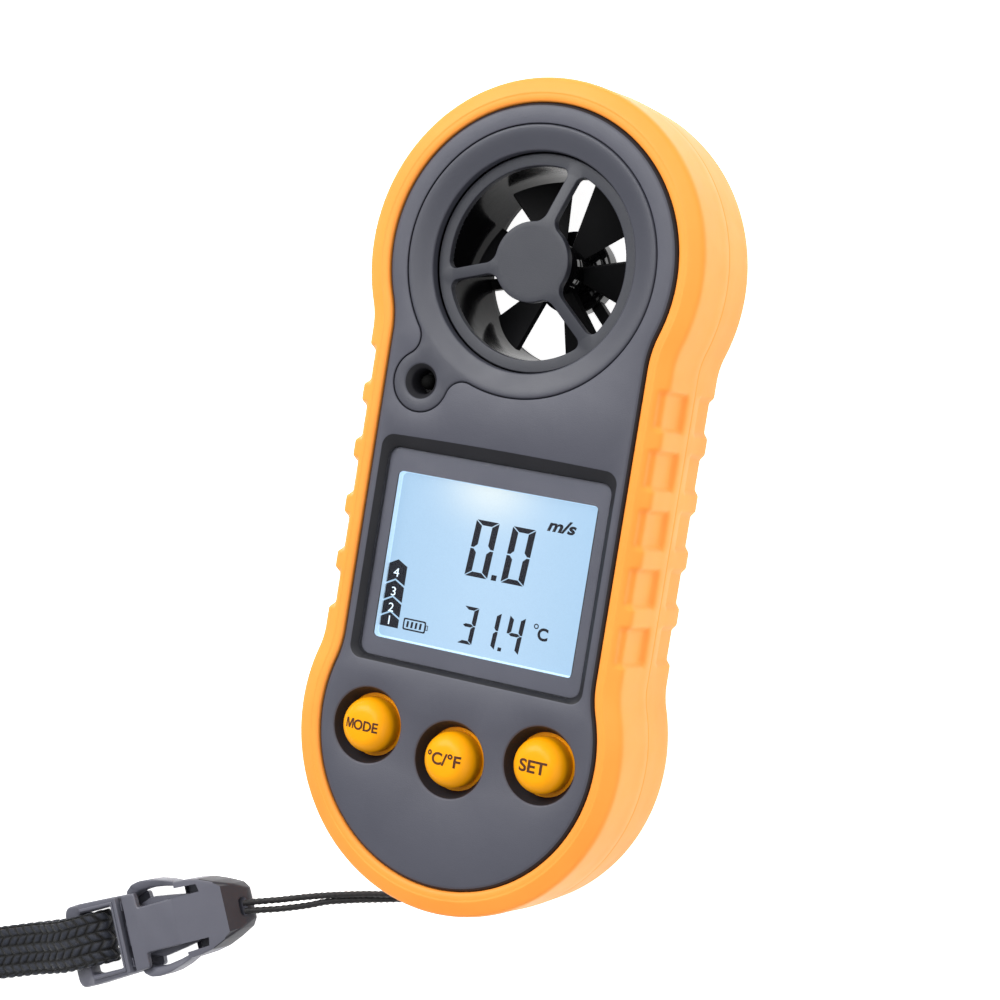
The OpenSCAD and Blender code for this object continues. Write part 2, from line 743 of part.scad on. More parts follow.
module battery_cover() color(gloss_black) {
    block(
        [-cover_w, cover_bottom, shell_back_z + gap],
        [cover_w, cover_pivot_y, shell_back_z + gap + cover_t]);
    translate([-cover_w, cover_pivot_y, cover_pivot_z]) rotate([0, 90, 0])
        cylinder(r = cover_pivot_r, h = 2 * cover_w);
    translate([-cover_w - 0.9, cover_pivot_y, cover_pivot_z]) rotate([0, 90, 0])
        cylinder(r = cover_pin_r, h = 2 * cover_w + 1.8);
    for (i = [0:3]) translate([-5, cover_bottom + 3 + 1.6 * i, shell_back_z - 0.3])
        cube([10, 0.8, 0.6]);
}

module case_screws() color(steel) both_sides(case_screw_at) difference() {
    union() {
        translate([0, 0, shell_back_z + 0.05]) cylinder(r1 = 2.3, r2 = 1, h = 1.4);
        translate([0, 0, shell_back_z + 0.05]) cylinder(r = 1, h = 14);
    }
    translate([-0.3, -1.4, 0]) cube([0.6, 2.8, shell_back_z + 0.8]);
    translate([-1.4, -0.3, 0]) cube([2.8, 0.6, shell_back_z + 0.8]);
}

module board_screws() color(steel) both_sides(board_screw_at) {
    translate([0, 0, board_z - 1]) cylinder(r = 1.7, h = 1);
    translate([0, 0, board_z - 1]) cylinder(r = 0.8, h = 5);
}

// ---- Lanyard ----

module lanyard_pin_shape(r)
    translate([-notch_w / 2 - 1.4, pin_y, pin_z]) rotate([0, 90, 0]) cylinder(r = r, h = notch_w + 2.8);

module lanyard_pin() color(steel) lanyard_pin_shape(pin_r);

module string_loop() color(satin_black)
    swept([for (i = [0:len(string_route) - 1]) let (
        t = ahead(string_route, i),
        side = cross(t, [0.3, 1, 0.1]) / norm(cross(t, [0.3, 1, 0.1])),
        up = cross(side, t)
    ) [for (k = [0:7]) string_route[i] + string_d / 2 * (cos(45 * k) * side + sin(45 * k) * up)]],
    len(string_route));

module on_buckle() {
    translate([buckle_nose.x, buckle_nose.y, 0]) rotate(buckle_turn) children();
}

// The socket's right-hand edge, from its nose to its mouth, as [along, across]
socket_edge = [[0, 3.2], [1.6, 4.4], [4.5, 5.6], [7.6, 6.7], [13.2, 7.4], [socket_len, 7.4]];

module buckle_socket() color(satin_black) on_buckle() difference() {
    linear_extrude(buckle_h) polygon(concat(
        socket_edge,
        [for (i = [len(socket_edge) - 1:-1:0]) [socket_edge[i].x, -socket_edge[i].y]]));
    for (side = [0, 1]) mirror([0, side, 0]) {
        translate([0, 0, -over]) linear_extrude(buckle_h + 2 * over)
            polygon([[7.8, 4.35], [22.4, 4.35], [22.4, 9], [13.2, 9], [13.2, 6.1], [7.8, 5.9]]);
        block([22.3, 3.3, 1.3], [socket_len + over, 9, buckle_h - 1.3]);
    }
    block([8, -2.6, 1.3], [socket_len + over, 2.6, buckle_h - 1.3]);
    translate([-over, -2, buckle_h / 2 - 1]) cube([6, 4, 2]);
    translate([0, 10, 0]) rotate([90, 0, 0]) linear_extrude(20)
        polygon([[-over, 2.8], [0, 2.8], [1.6, buckle_h], [1.6, buckle_h + over], [-over, buckle_h + over]]);
}

module buckle_frame() color(satin_black) on_buckle() {
    near = socket_len + 1.4;
    difference() {
        block([near, -7.9, 0.6], [frame_len, 7.9, 5.6]);
        block([near + 1.7, -6, -over], [37, 6, buckle_h]);
        block([36.9, -6.2, 4.5], [frame_len + over, 6.2, buckle_h]);
        block([36.9, -6.2, -over], [frame_len + over, 6.2, 1.8]);
    }
    block([9, -2.4, 2.2], [near + 0.4, 2.4, 4.4]);
}

// A springy arm with a thumb pad, on the side of +Y before it is mirrored
module prong() {
    outer = [
        [26, 6.3], [25.3, 6.9], [24.8, 7.9], [23.6, 8.7], [21.2, 9.15], [18.6, 8.9], [16, 8.2],
        [13.5, 7.3]
    ];
    inner = [[13.5, 6.2], [16, 6.6], [19, 7], [22, 6.9], [24.4, 5.9], [26, 4.6]];
    translate([0, 0, 1.5]) linear_extrude(buckle_h - 3) {
        polygon(concat(outer, inner));
        translate([26, 5.45]) circle(0.85);
    }
}

module buckle_prong_left() color(satin_black) on_buckle() mirror([0, 1, 0]) prong();

module buckle_prong_right() color(satin_black) on_buckle() prong();

function spot(point) = [point.x, point.y, point.z];

// Which way the strap's width points, for a strap heading along t with a given tilt
function width_way(t, tilt, level) = let (
    side = level ? strap_side : [-t.y, t.x, 0] / norm([t.x, t.y])
) cos(tilt) * side + [0, 0, sin(tilt)];

// One ring of the strap's cross-section: its middle, heading, tilt and shift across its layers
function strap_ring(at, t, tilt, level, shift) = let (
    lean = width_way(t, tilt, level),
    thin = cross(t, lean) / norm(cross(t, lean)),
    wide = cross(thin, t),
    w = strap_w / 2,
    h = strap_t / 2
) [for (c = [
        [w, h / 2], [w - 0.4, h], [0.4 - w, h], [-w, h / 2],
        [-w, -h / 2], [0.4 - w, -h], [w - 0.4, -h], [w, -h / 2]
    ]) at + c.x * wide + (c.y + shift) * thin];

// The same ring seen from a strap that heads the other way
function flipped(ring) = [for (k = [len(ring) - 1:-1:0]) ring[k]];

function pair_ring(i, shift) =
    strap_ring(spot(strap_pair[i]), ahead(strap_pair, i), strap_pair[i][3], false, shift);

module wrist_strap() color(satin_black) {
    layer_shift = strap_t / 2 + gap;
    last = len(strap_pair) - 1;
    upper = [for (i = [0:last]) pair_ring(i, layer_shift)];
    lower = [for (i = [0:last]) pair_ring(i, -layer_shift)];
    bar = [for (i = [0:len(strap_bar) - 1])
        strap_ring(spot(strap_bar[i]), ahead(strap_bar, i), 0, true, 0)];
    wide_loop = [for (i = [0:len(strap_loop) - 1])
        strap_ring(spot(strap_loop[i]), ahead(strap_loop, i), 90, false, 0)];
    swept(concat(
        [for (i = [strap_seam:-1:0]) flipped(lower[i])],
        bar, upper, wide_loop,
        [for (i = [last:-1:strap_seam + 1]) flipped(lower[i])]
    ), strap_seam + 1 + len(bar) + len(upper) + len(wide_loop));
}

rubber_boot();
front_shell();
rear_shell();
vane_bezel();
front_grille();
duct_front();
duct_rear();
rear_grille();
impeller();
impeller_shaft();
front_bearing();
rear_bearing();
impeller_magnet();
pickup_sensor();
thermistor();
display_lens();
lens_gasket();
lcd_glass();
lcd_backlight();
lcd_frame();
zebra_strip();
button_left();
button_middle();
button_right();
switch_left();
switch_middle();
switch_right();
main_board();
display_driver();
crystal();
capacitors();
buzzer();
battery_cell_left();
battery_cell_middle();
battery_cell_right();
contact_springs();
contact_plates();
battery_cover();
case_screws();
board_screws();
lanyard_pin();
string_loop();
buckle_socket();
buckle_frame();
buckle_prong_left();
buckle_prong_right();
wrist_strap();
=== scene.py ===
import math

import bmesh
import bpy
from mathutils import Matrix, Vector
from mathutils.geometry import delaunay_2d_cdt


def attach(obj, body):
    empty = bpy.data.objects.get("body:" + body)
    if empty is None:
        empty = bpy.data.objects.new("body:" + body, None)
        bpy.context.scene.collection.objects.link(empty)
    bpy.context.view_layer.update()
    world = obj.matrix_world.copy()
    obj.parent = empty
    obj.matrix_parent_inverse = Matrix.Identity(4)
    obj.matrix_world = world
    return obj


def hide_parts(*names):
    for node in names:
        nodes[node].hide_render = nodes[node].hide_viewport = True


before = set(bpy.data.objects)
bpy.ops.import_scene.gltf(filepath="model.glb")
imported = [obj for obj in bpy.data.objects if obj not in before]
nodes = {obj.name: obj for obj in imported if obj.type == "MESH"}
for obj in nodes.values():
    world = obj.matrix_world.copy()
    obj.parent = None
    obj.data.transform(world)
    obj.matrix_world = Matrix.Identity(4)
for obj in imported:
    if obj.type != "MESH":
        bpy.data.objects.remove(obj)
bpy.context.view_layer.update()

MM = 0.001
scene = bpy.context.scene
scene.view_settings.view_transform = "Standard"

# Dimensions in millimetres: case, display, buttons, vane, buckle
HEAD_Y, FOOT_Y = 40.6, -41.0
HEAD_R, FOOT_R, WAIST_W, NECK_R = 27.0, 26.6, 24.4, 18.0
FACE_Z = 23.0
NECK_HEAD_Y = HEAD_Y - math.sqrt((HEAD_R + NECK_R) ** 2 - (WAIST_W + NECK_R) ** 2)
NECK_FOOT_Y = FOOT_Y + math.sqrt((FOOT_R + NECK_R) ** 2 - (WAIST_W + NECK_R) ** 2)
SENSOR = (-17.0, 17.7)
LENS_W, LENS_H, LENS_Y = 21.4, 18.2, -12.4
LENS_TOP, LENS_FOOT = 22.3, 21.3
MASK_TOP, MASK_FOOT, INK_Z = 21.29, 21.26, 19.66
GLOW_Z, LEAN = 21.0, 0.075
# What shows of the display: half-width, lower and upper edge, corner radius
VIEW_W, VIEW_LOW, VIEW_HIGH, VIEW_R = 19.4, -27.4, 1.8, 0.9
BUTTONS = {"left": (-16.8, -42.7), "middle": (0.0, -45.3), "right": (16.8, -42.7)}
CAP_R, CAP_TOP, SHOULDER = 4.85, 25.0, 2.5
FLANGE_R, FLANGE_TOP, FLANGE_FOOT = 6.25, 19.8, 18.9
SPOKES = (74, 194, 314)
HUB_R, RING_IN, RING_OUT, RING_TOP = 6.93, 16.6, 18.7, 20.3
NOSE = (-46.8, -84.0)
BUCKLE_TURN = math.radians(-154.2)


def put(name, data):
    ob = bpy.data.objects.new(name, data)
    scene.collection.objects.link(ob)
    return ob


# ---------- camera

def set_camera():
    turn = Matrix.Rotation(-0.16, 3, "Z")
    turn = turn @ Matrix.Rotation(0.0477, 3, "X") @ Matrix.Rotation(-0.4624, 3, "Y")
    data = bpy.data.cameras.new("camera")
    data.lens = 88.34
    data.sensor_width = 36
    data.clip_start = 0.01
    data.clip_end = 20
    camera = put("camera", data)
    camera.matrix_world = Matrix.Translation((0.18698, 0.0198, 0.3946)) @ turn.transposed().to_4x4()
    scene.camera = camera


set_camera()


# ---------- materials

class Shader:
    """A principled material with a few shorthands for its node tree."""

    def __init__(self, name, **sockets):
        self.mat = bpy.data.materials.new(name)
        self.mat.use_nodes = True
        self.tree = self.mat.node_tree
        self.bsdf = self.tree.nodes["Principled BSDF"]
        for key, value in sockets.items():
            self.bsdf.inputs[key.replace("_", " ")].default_value = value

    def node(self, kind, **settings):
        n = self.tree.nodes.new(kind)
        for key, value in settings.items():
            if key in n.inputs:
                n.inputs[key].default_value = value
            else:
                setattr(n, key, value)
        return n

    def link(self, a, b):
        self.tree.links.new(a, b)

    def split(self, output):
        """The components of a texture coordinate."""
        n = self.node("ShaderNodeSeparateXYZ")
        self.link(self.node("ShaderNodeTexCoord").outputs[output], n.inputs[0])
        return n.outputs

    def noise(self, scale, detail=3.0, rough=0.55):
        n = self.node("ShaderNodeTexNoise", Scale=scale, Detail=detail, Roughness=rough)
        self.link(self.node("ShaderNodeTexCoord").outputs["Object"], n.inputs["Vector"])
        return n.outputs["Fac"]

    def ramp(self, fac, low, high, a=0.3, b=0.7):
        r = self.node("ShaderNodeValToRGB")
        for i, (place, colour) in enumerate(((a, low), (b, high))):
            r.color_ramp.elements[i].position = place
            r.color_ramp.elements[i].color = (*colour, 1)
        self.link(fac, r.inputs["Fac"])
        return r.outputs["Color"]

    def math(self, op, *values):
        m = self.node("ShaderNodeMath", operation=op)
        for i, x in enumerate(values):
            if isinstance(x, (int, float)):
                m.inputs[i].default_value = x
            else:
                self.link(x, m.inputs[i])
        return m.outputs[0]

    def add(self, a, b):
        return self.math("ADD", a, b)

    def sub(self, a, b):
        return self.math("SUBTRACT", a, b)

    def mul(self, a, b):
        return self.math("MULTIPLY", a, b)

    def color(self, fac, low, high, a=0.3, b=0.7):
        self.link(self.ramp(fac, low, high, a, b), self.bsdf.inputs["Base Color"])

    def rough(self, fac, low, high):
        m = self.node("ShaderNodeMapRange", **{"To Min": low, "To Max": high})
        self.link(fac, m.inputs["Value"])
        self.link(m.outputs["Result"], self.bsdf.inputs["Roughness"])

    def bump(self, height, strength, distance):
        b = self.node("ShaderNodeBump", Strength=strength, Distance=distance)
        self.link(height, b.inputs["Height"])
        self.link(b.outputs["Normal"], self.bsdf.inputs["Normal"])


def moulded(name, low, high, rough, grain, depth, spec=0.5, spread=0.08, **sockets):
    """Moulded plastic or rubber: a fine grain, faint mottling and uneven gloss."""
    s = Shader(name, Specular_IOR_Level=spec, **sockets)
    s.color(s.noise(60, 4), low, high, 0.25, 0.75)
    s.rough(s.noise(220, 3), rough - spread, rough + spread)
    s.bump(s.noise(grain, 2, 0.6), 0.6, depth)
    return s.mat


def metal(name, low, high, rough):
    s = Shader(name, Metallic=1.0)
    s.color(s.noise(300, 3), low, high)
    s.rough(s.noise(900, 4), rough - 0.08, rough + 0.1)
    s.bump(s.noise(2500, 2), 0.3, 20e-6)
    return s.mat


def print_material(name, colour):
    s = Shader(name, Specular_IOR_Level=0.1)
    s.color(s.noise(2500, 3), tuple(c * 0.85 for c in colour), colour, 0.2, 0.6)
    s.rough(s.noise(1800), 0.47, 0.63)
    return s.mat


def glowing(name, strength, low, high, glow):
    s = Shader(name, Roughness=0.5, Emission_Strength=strength, Emission_Color=(*glow, 1))
    s.color(s.noise(900), low, high)
    return s.mat


ORANGE = moulded("boot_rubber", (0.91, 0.295, 0.040), (0.96, 0.335, 0.052), 0.46, 2600, 25e-6, 0.26)
PANEL = moulded("panel_grain", (0.054, 0.056, 0.076), (0.066, 0.068, 0.090), 0.50, 5200, 35e-6)
BEZEL = moulded("bezel_grain", (0.044, 0.046, 0.062), (0.054, 0.056, 0.072), 0.46, 5200, 30e-6, 0.45)
GRILLE = moulded("grille_grain", (0.026, 0.028, 0.038), (0.033, 0.035, 0.045), 0.48, 5200, 30e-6, 0.42)
# Painted shade: a much darker copy of the panel plastic for the walls of recesses, cups, grooves and the
# temperature hole's sink
PAINTED_RECESS_SHADE = moulded("recess_wall_painted_shade", (0.010, 0.010, 0.013), (0.018, 0.018, 0.022), 0.5, 3000, 20e-6, 0.3)
GLOSS_BLACK = moulded("gloss_black", (0.002, 0.002, 0.0025), (0.004, 0.004, 0.005), 0.16, 300, 40e-6,
                      0.05, spread=0.05)
COLLAR_BLACK = moulded("collar_black", (0.003, 0.003, 0.0035), (0.006, 0.006, 0.007), 0.1, 300, 20e-6,
                       0.6, spread=0.04)
BLADE_BLACK = moulded("blade_black", (0.002, 0.002, 0.0025), (0.005, 0.005, 0.006), 0.5, 1500, 20e-6, 0.2)
# The thermistor's own dark bead, made near black and matte so that it also stands for painted shade down
# its hole
THERMISTOR_BLACK_AND_HOLE_SHADE = moulded("thermistor_black_and_hole_shade", (0.001, 0.001, 0.001), (0.003, 0.003, 0.003), 0.8, 1500, 20e-6, 0.1)
REAR_BLACK = moulded("rear_black", (0.016, 0.016, 0.018), (0.026, 0.026, 0.028), 0.45, 4200, 40e-6)
BUCKLE = moulded("buckle_satin", (0.086, 0.088, 0.112), (0.104, 0.106, 0.134), 0.44, 3200, 20e-6)
# Painted shade: a darker copy of the buckle's satin plastic for the nose faces turned away from the light
NOSE_PAINTED_SHADE = moulded("nose_satin_painted_shade", (0.022, 0.022, 0.028), (0.030, 0.030, 0.038), 0.5, 3200, 20e-6, 0.3)
BUTTON = moulded("button_gloss", (0.88, 0.335, 0.001), (0.93, 0.37, 0.002), 0.34, 900, 10e-6, 0.16,
                 spread=0.05, Coat_Weight=0.05, Coat_Roughness=0.1)
MASK = moulded("mask_print", (0.066, 0.068, 0.092), (0.080, 0.082, 0.108), 0.38, 900, 6e-6)
FOAM = moulded("foam", (0.012, 0.012, 0.012), (0.022, 0.022, 0.022), 0.9, 3000, 100e-6)
BOARD = moulded("solder_mask", (0.01, 0.09, 0.04), (0.015, 0.14, 0.06), 0.35, 1500, 20e-6)
CHIP = moulded("component", (0.02, 0.02, 0.022), (0.035, 0.035, 0.037), 0.5, 3000, 30e-6)
CERAMIC = moulded("ceramic", (0.40, 0.28, 0.15), (0.50, 0.36, 0.22), 0.5, 3000, 30e-6)
JACKET = moulded("cell_jacket", (0.55, 0.36, 0.10), (0.66, 0.45, 0.16), 0.28, 600, 10e-6, Metallic=0.6)
ZEBRA = moulded("zebra", (0.45, 0.22, 0.22), (0.60, 0.34, 0.32), 0.6, 3000, 30e-6)
GUIDE = moulded("light_guide", (0.75, 0.82, 0.88), (0.85, 0.90, 0.95), 0.25, 900, 10e-6)
STEEL = metal("steel", (0.55, 0.55, 0.57), (0.70, 0.70, 0.72), 0.3)
BRASS = metal("brass", (0.60, 0.40, 0.14), (0.74, 0.52, 0.22), 0.3)
MAGNET = metal("magnet", (0.12, 0.12, 0.13), (0.2, 0.2, 0.21), 0.5)
INK = print_material("segment_ink", (0.002, 0.002, 0.006))
LEGEND = print_material("legend_print", (0.085, 0.035, 0.018))
PALE_INK = glowing("pale_ink", 0.8, (0.5, 0.6, 0.7), (0.6, 0.7, 0.8), (0.6, 0.76, 0.92))
EDGE_GLOW = glowing("edge_glow", 0.7, (0.3, 0.4, 0.5), (0.4, 0.5, 0.6), (0.50, 0.73, 0.95))


def lcd_material():
    """The lit display: pale blue, brighter near its lamp at the top, with a faint grain."""
    s = Shader("lcd_lit", Roughness=0.35, Specular_IOR_Level=0.2, Base_Color=(0.05, 0.07, 0.09, 1),
               Emission_Strength=0.92)
    x, y, _ = s.split("Object")
    dx = s.math("DIVIDE", s.sub(x, -0.002), 0.0075)
    dy = s.math("DIVIDE", s.sub(y, 0.0012), 0.0052)
    far = s.add(s.mul(dx, dx), s.mul(dy, dy))
    glow = s.math("POWER", 2.718, s.mul(far, -1.0))
    side = s.mul(s.math("ABSOLUTE", s.sub(x, 0.001)), 12.0)
    base = s.ramp(side, (0.50, 0.72, 0.95), (0.43, 0.66, 0.90), 0.05, 0.24)
    lit = s.node("ShaderNodeMix", data_type="RGBA")
    s.link(glow, lit.inputs["Factor"])
    s.link(base, lit.inputs["A"])
    lit.inputs["B"].default_value = (0.86, 0.97, 1.0, 1)
    grain = s.node("ShaderNodeMix", data_type="RGBA", blend_type="MULTIPLY")
    grain.inputs["Factor"].default_value = 1.0
    s.link(lit.outputs["Result"], grain.inputs["A"])
    s.link(s.ramp(s.noise(3500, 2), (0.95, 0.96, 0.97), (1, 1, 1)), grain.inputs["B"])
    s.link(grain.outputs["Result"], s.bsdf.inputs["Emission Color"])
    return s.mat


def lens_material():
    s = Shader("lens_clear", Alpha=0.035)
    s.color(s.noise(300), (0.20, 0.22, 0.26), (0.26, 0.28, 0.33))
    s.rough(s.noise(700), 0.03, 0.08)
    return s.mat


BRAID_PITCH, BRAID_SLANT, BRAID_COLUMNS = 2.1, 0.62, 12


def braid_height(u, v):
    """How far the yarns of the webbing stand out, 0 to 1, u mm along it and v columns round it."""
    local = v % 1 - 0.5
    odd = 2 * (math.floor(v) % 2) - 1
    across = 2 * abs((u / BRAID_PITCH + local * odd * BRAID_SLANT) % 1 - 0.5)
    return (1 - across ** 3) * (1 - abs(2 * local) ** 4)


def webbing_material():
    """Flat braid: columns of slanting yarns that meet in chevrons, with shade painted into the gaps
    between the yarns.
    """
    s = Shader("webbing_braid", Specular_IOR_Level=0.28, Sheen_Weight=0.08, Sheen_Roughness=0.5)
    u, v, _ = s.split("UV")
    local = s.sub(s.math("FRACT", v), 0.5)
    odd = s.sub(s.mul(s.math("MODULO", s.math("FLOOR", v), 2.0), 2.0), 1.0)
    slant = s.mul(s.mul(local, odd), BRAID_SLANT)
    phase = s.math("FRACT", s.add(s.math("DIVIDE", u, BRAID_PITCH), slant))
    across = s.math("ABSOLUTE", s.sub(phase, 0.5))
    yarn = s.sub(1.0, s.math("POWER", s.mul(across, 2.0), 3.0))
    edge = s.sub(1.0, s.math("POWER", s.mul(s.math("ABSOLUTE", local), 2.0), 4.0))
    height = s.mul(yarn, edge)
    fibre = s.math("SINE", s.mul(s.sub(phase, s.mul(local, 0.25)), 38.0))
    fuzz = s.noise(1500, 4)
    # Painted shade: the colour follows how far the yarns stand out, near black in the gaps between them,
    # with random fuzz on top
    gap_shade_and_fuzz = s.mul(height, s.add(0.55, s.mul(fuzz, 0.8)))
    s.color(gap_shade_and_fuzz, (0.0004, 0.0004, 0.0006), (0.019, 0.022, 0.033), 0.4, 1.0)
    s.rough(s.noise(2500), 0.5, 0.7)
    s.bump(s.add(s.add(height, s.mul(fibre, 0.07)), s.mul(fuzz, 0.3)), 1.0, 250e-6)
    return s.mat


def string_material():
    s = Shader("string_braid", Specular_IOR_Level=0.3)
    s.color(s.noise(1800, 3), (0.004, 0.004, 0.005), (0.018, 0.017, 0.018))
    s.rough(s.noise(2500), 0.45, 0.65)
    s.bump(s.noise(9000, 2), 0.7, 60e-6)
    return s.mat


LCD = lcd_material()
LENS = lens_material()
WEBBING = webbing_material()
STRING = string_material()


# ---------- mesh helpers

class Build:
    """Collects vertices, in millimetres, and faces for one mesh."""

    def __init__(self):
        self.verts, self.faces = [], []

    def ring(self, points):
        start = len(self.verts)
        self.verts.extend(points)
        return list(range(start, len(self.verts)))

    def add(self, verts, faces):
        row = self.ring(verts)
        self.faces.extend(tuple(row[i] for i in f) for f in faces)

    def flat(self, loop, z):
        """One level face."""
        self.faces.append(tuple(self.ring(lift(loop, z))))

    def loft(self, rings, wrap=False, capped=False):
        """Faces between rings of 3-D points; wrap joins the last to the first, capped closes both."""
        rows = [self.ring(r) for r in rings]
        n = len(rows[0])
        for a, b in zip(rows, rows[1:] + rows[:1] * wrap):
            self.faces += [(a[k], a[(k + 1) % n], b[(k + 1) % n], b[k]) for k in range(n)]
        if capped:
            self.faces += [tuple(rows[0]), tuple(rows[-1])]

    def fill(self, outer, holes, top, extra=(), cuts=()):
        """A sheet between outline loops, lifted to a height or to top(x, y). extra are loops of points
        inside it that its triangles follow, and cuts are open lines."""
        points, edges = [], []
        closed = [outer, *holes, *extra]
        for k, line in enumerate([*closed, *cuts]):
            start, n = len(points), len(line)
            points += line
            edges += [(start + i, start + (i + 1) % n) for i in range(n if k < len(closed) else n - 1)]
        out, _, tris, _, _, _ = delaunay_2d_cdt([Vector(p[:2]) for p in points], edges, [], 0, 1e-6)
        height = surface(top)
        row = self.ring([(p.x, p.y, height(p.x, p.y)) for p in out])
        for t in tris:
            middle = [sum(out[i][k] for i in t) / len(t) for k in (0, 1)]
            if inside(*middle, outer) and not any(inside(*middle, h) for h in holes):
                self.faces.append(tuple(row[i] for i in t))


def surface(top):
    return top if callable(top) else lambda x, y: top


def metres(points):
    return [tuple(c * MM for c in p) for p in points]


def solid(name, b, uvs=None):
    """A mesh with its doubles merged and its normals outwards."""
    mesh = bpy.data.meshes.new(name)
    mesh.from_pydata(metres(b.verts), [], b.faces)
    if uvs:
        layer = mesh.uv_layers.new(name="UVMap")
        for loop in mesh.loops:
            layer.data[loop.index].uv = uvs[loop.vertex_index]
    bm = bmesh.new()
    bm.from_mesh(mesh)
    bmesh.ops.remove_doubles(bm, verts=bm.verts, dist=1e-7)
    bmesh.ops.recalc_face_normals(bm, faces=bm.faces)
    bm.to_mesh(mesh)
    bm.free()
    return mesh


def shade(mesh, sharp):
    mesh.shade_smooth()
    mesh.set_sharp_from_angle(angle=math.radians(sharp))


def make(name, b, material, body, sharp, stands_for=None, uvs=None):
    """A mesh object riding on a body."""
    mesh = solid(name, b, uvs)
    shade(mesh, sharp)
    mesh.materials.append(material)
    ob = put(name, mesh)
    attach(ob, body)
    if stands_for:
        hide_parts(stands_for)
    return ob


def evaluated(ob):
    bpy.context.view_layer.update()
    return bpy.data.meshes.new_from_object(ob.evaluated_get(bpy.context.evaluated_depsgraph_get()))


def cut(ob, low, high):
    """Cuts the solid between two loops of 3-D points away from a piece."""
    b = Build()
    b.loft([low, high], capped=True)
    tool = put("cutter", solid("cutter", b))
    mod = ob.modifiers.new("cut", "BOOLEAN")
    mod.operation = "DIFFERENCE"
    mod.object = tool
    mod.solver = "EXACT"
    result = evaluated(ob)
    ob.modifiers.clear()
    ob.data = result
    bpy.data.objects.remove(tool)


def second_material(ob, material, chosen):
    """Gives the faces for which chosen(centre in millimetres, normal) holds another material."""
    ob.data.materials.append(material)
    for face in ob.data.polygons:
        if chosen(face.center / MM, face.normal):
            face.material_index = 1


def inside(x, y, loop):
    hit = False
    for i in range(len(loop)):
        (xi, yi), (xj, yj) = loop[i][:2], loop[i - 1][:2]
        if (yi > y) != (yj > y) and x < (xj - xi) * (y - yi) / (yj - yi) + xi:
            hit = not hit
    return hit


def grown(loop, d):
    """The loop moved outwards by d along its own normals."""
    n = len(loop)
    turn = sum(loop[i - 1][0] * loop[i][1] - loop[i][0] * loop[i - 1][1] for i in range(n))
    d = d if turn > 0 else -d
    out = []
    for i in range(n):
        (ax, ay), (x, y), (cx, cy) = (loop[k][:2] for k in (i - 1, i, (i + 1) % n))
        e0 = Vector((x - ax, y - ay)).normalized()
        e1 = Vector((cx - x, cy - y)).normalized()
        nx, ny = (e0.y + e1.y), -(e0.x + e1.x)
        length = math.hypot(nx, ny) or 1.0
        nx, ny = nx / length, ny / length
        half = max(0.5, nx * e0.y - ny * e0.x)
        out.append((x + nx * d / half, y + ny * d / half))
    return out


def arc(cx, cy, r, a0, a1, n):
    """n points from angle a0 to a1 in degrees, without the last one."""
    turns = [math.radians(a0 + (a1 - a0) * i / n) for i in range(n)]
    return [(cx + r * math.cos(a), cy + r * math.sin(a)) for a in turns]


def circle(cx, cy, r, n):
    return arc(cx, cy, r, 0, 360, n)


def box(x0, x1, y0, y1):
    return [(x0, y0), (x1, y0), (x1, y1), (x0, y1)]


def rounded(w, y0, y1, r, n):
    """A rectangle with round corners: half-width, y range, corner radius and points for a corner."""
    points = arc(w - r, y0 + r, r, -90, 0, n) + [(w, y0 + r)]
    points += arc(w - r, y1 - r, r, 0, 90, n) + [(w - r, y1)]
    points += arc(r - w, y1 - r, r, 90, 180, n) + [(-w, y1 - r)]
    return points + arc(r - w, y0 + r, r, 180, 270, n) + [(r - w, y0)]


def lift(loop, z):
    return [(p[0], p[1], z) for p in loop]


def mix(p, q, m):
    return tuple(a + (c - a) * m for a, c in zip(p, q))


def step(x, a, b):
    t = min(1.0, max(0.0, (x - a) / (b - a)))
    return t * t * (3 - 2 * t)


def case_outline(grow, straight=12, head=150, neck=14, foot=140):
    """The case's outline grown past the panel, anticlockwise from the right of the foot."""
    low, high = NECK_FOOT_Y, NECK_HEAD_Y
    rn, x, w = NECK_R - grow, WAIST_W + NECK_R, WAIST_W + grow
    angle_h = math.degrees(math.atan2(high - HEAD_Y, x))
    angle_f = math.degrees(math.atan2(low - FOOT_Y, x))
    return (
        [(w, low + (high - low) * i / straight) for i in range(straight)]
        + arc(x, high, rn, 180, 180 + angle_h, neck)
        + arc(0, HEAD_Y, HEAD_R + grow, angle_h, 180 - angle_h, head)
        + arc(-x, high, rn, -angle_h, 0, neck)
        + [(-w, high + (low - high) * i / straight) for i in range(straight)]
        + arc(-x, low, rn, 0, -angle_f, neck)
        + arc(0, FOOT_Y, FOOT_R + grow, 180 - angle_f, 360 + angle_f, foot)
        + arc(x, low, rn, 180 + angle_f, 180, neck)
    )


def revolve(b, cx, cy, profile, n):
    """Rings about a vertical axis; profile is a list of (radius, height)."""
    b.loft([lift(circle(cx, cy, r, n), z) for r, z in profile])


def below_face(profile):
    """(reach, depth below the face) made into (reach, height)."""
    return [(r, FACE_Z - depth) for r, depth in profile]


# ---------- cords

def smooth_route(points, spacing, leans=()):
    """A Catmull-Rom curve through the points, sampled about every spacing millimetres, and the width
    directions along it."""
    pts = [Vector(p) for p in points]
    path, sides = [], []
    for i in range(len(pts) - 1):
        p0, p1, p2, p3 = pts[max(i - 1, 0)], pts[i], pts[i + 1], pts[min(i + 2, len(pts) - 1)]
        n = max(1, round((p2 - p1).length / spacing))
        for k in range(n):
            t = k / n
            path.append(0.5 * (
                2 * p1 + (p2 - p0) * t + (2 * p0 - 5 * p1 + 4 * p2 - p3) * t * t
                + (3 * p1 - p0 - 3 * p2 + p3) * t * t * t
            ))
            if leans:
                sides.append(leans[i].lerp(leans[i + 1], t).normalized())
    return path + [pts[-1]], sides + list(leans[-1:])


def route_length(path):
    return sum((b - a).length for a, b in zip(path, path[1:]))


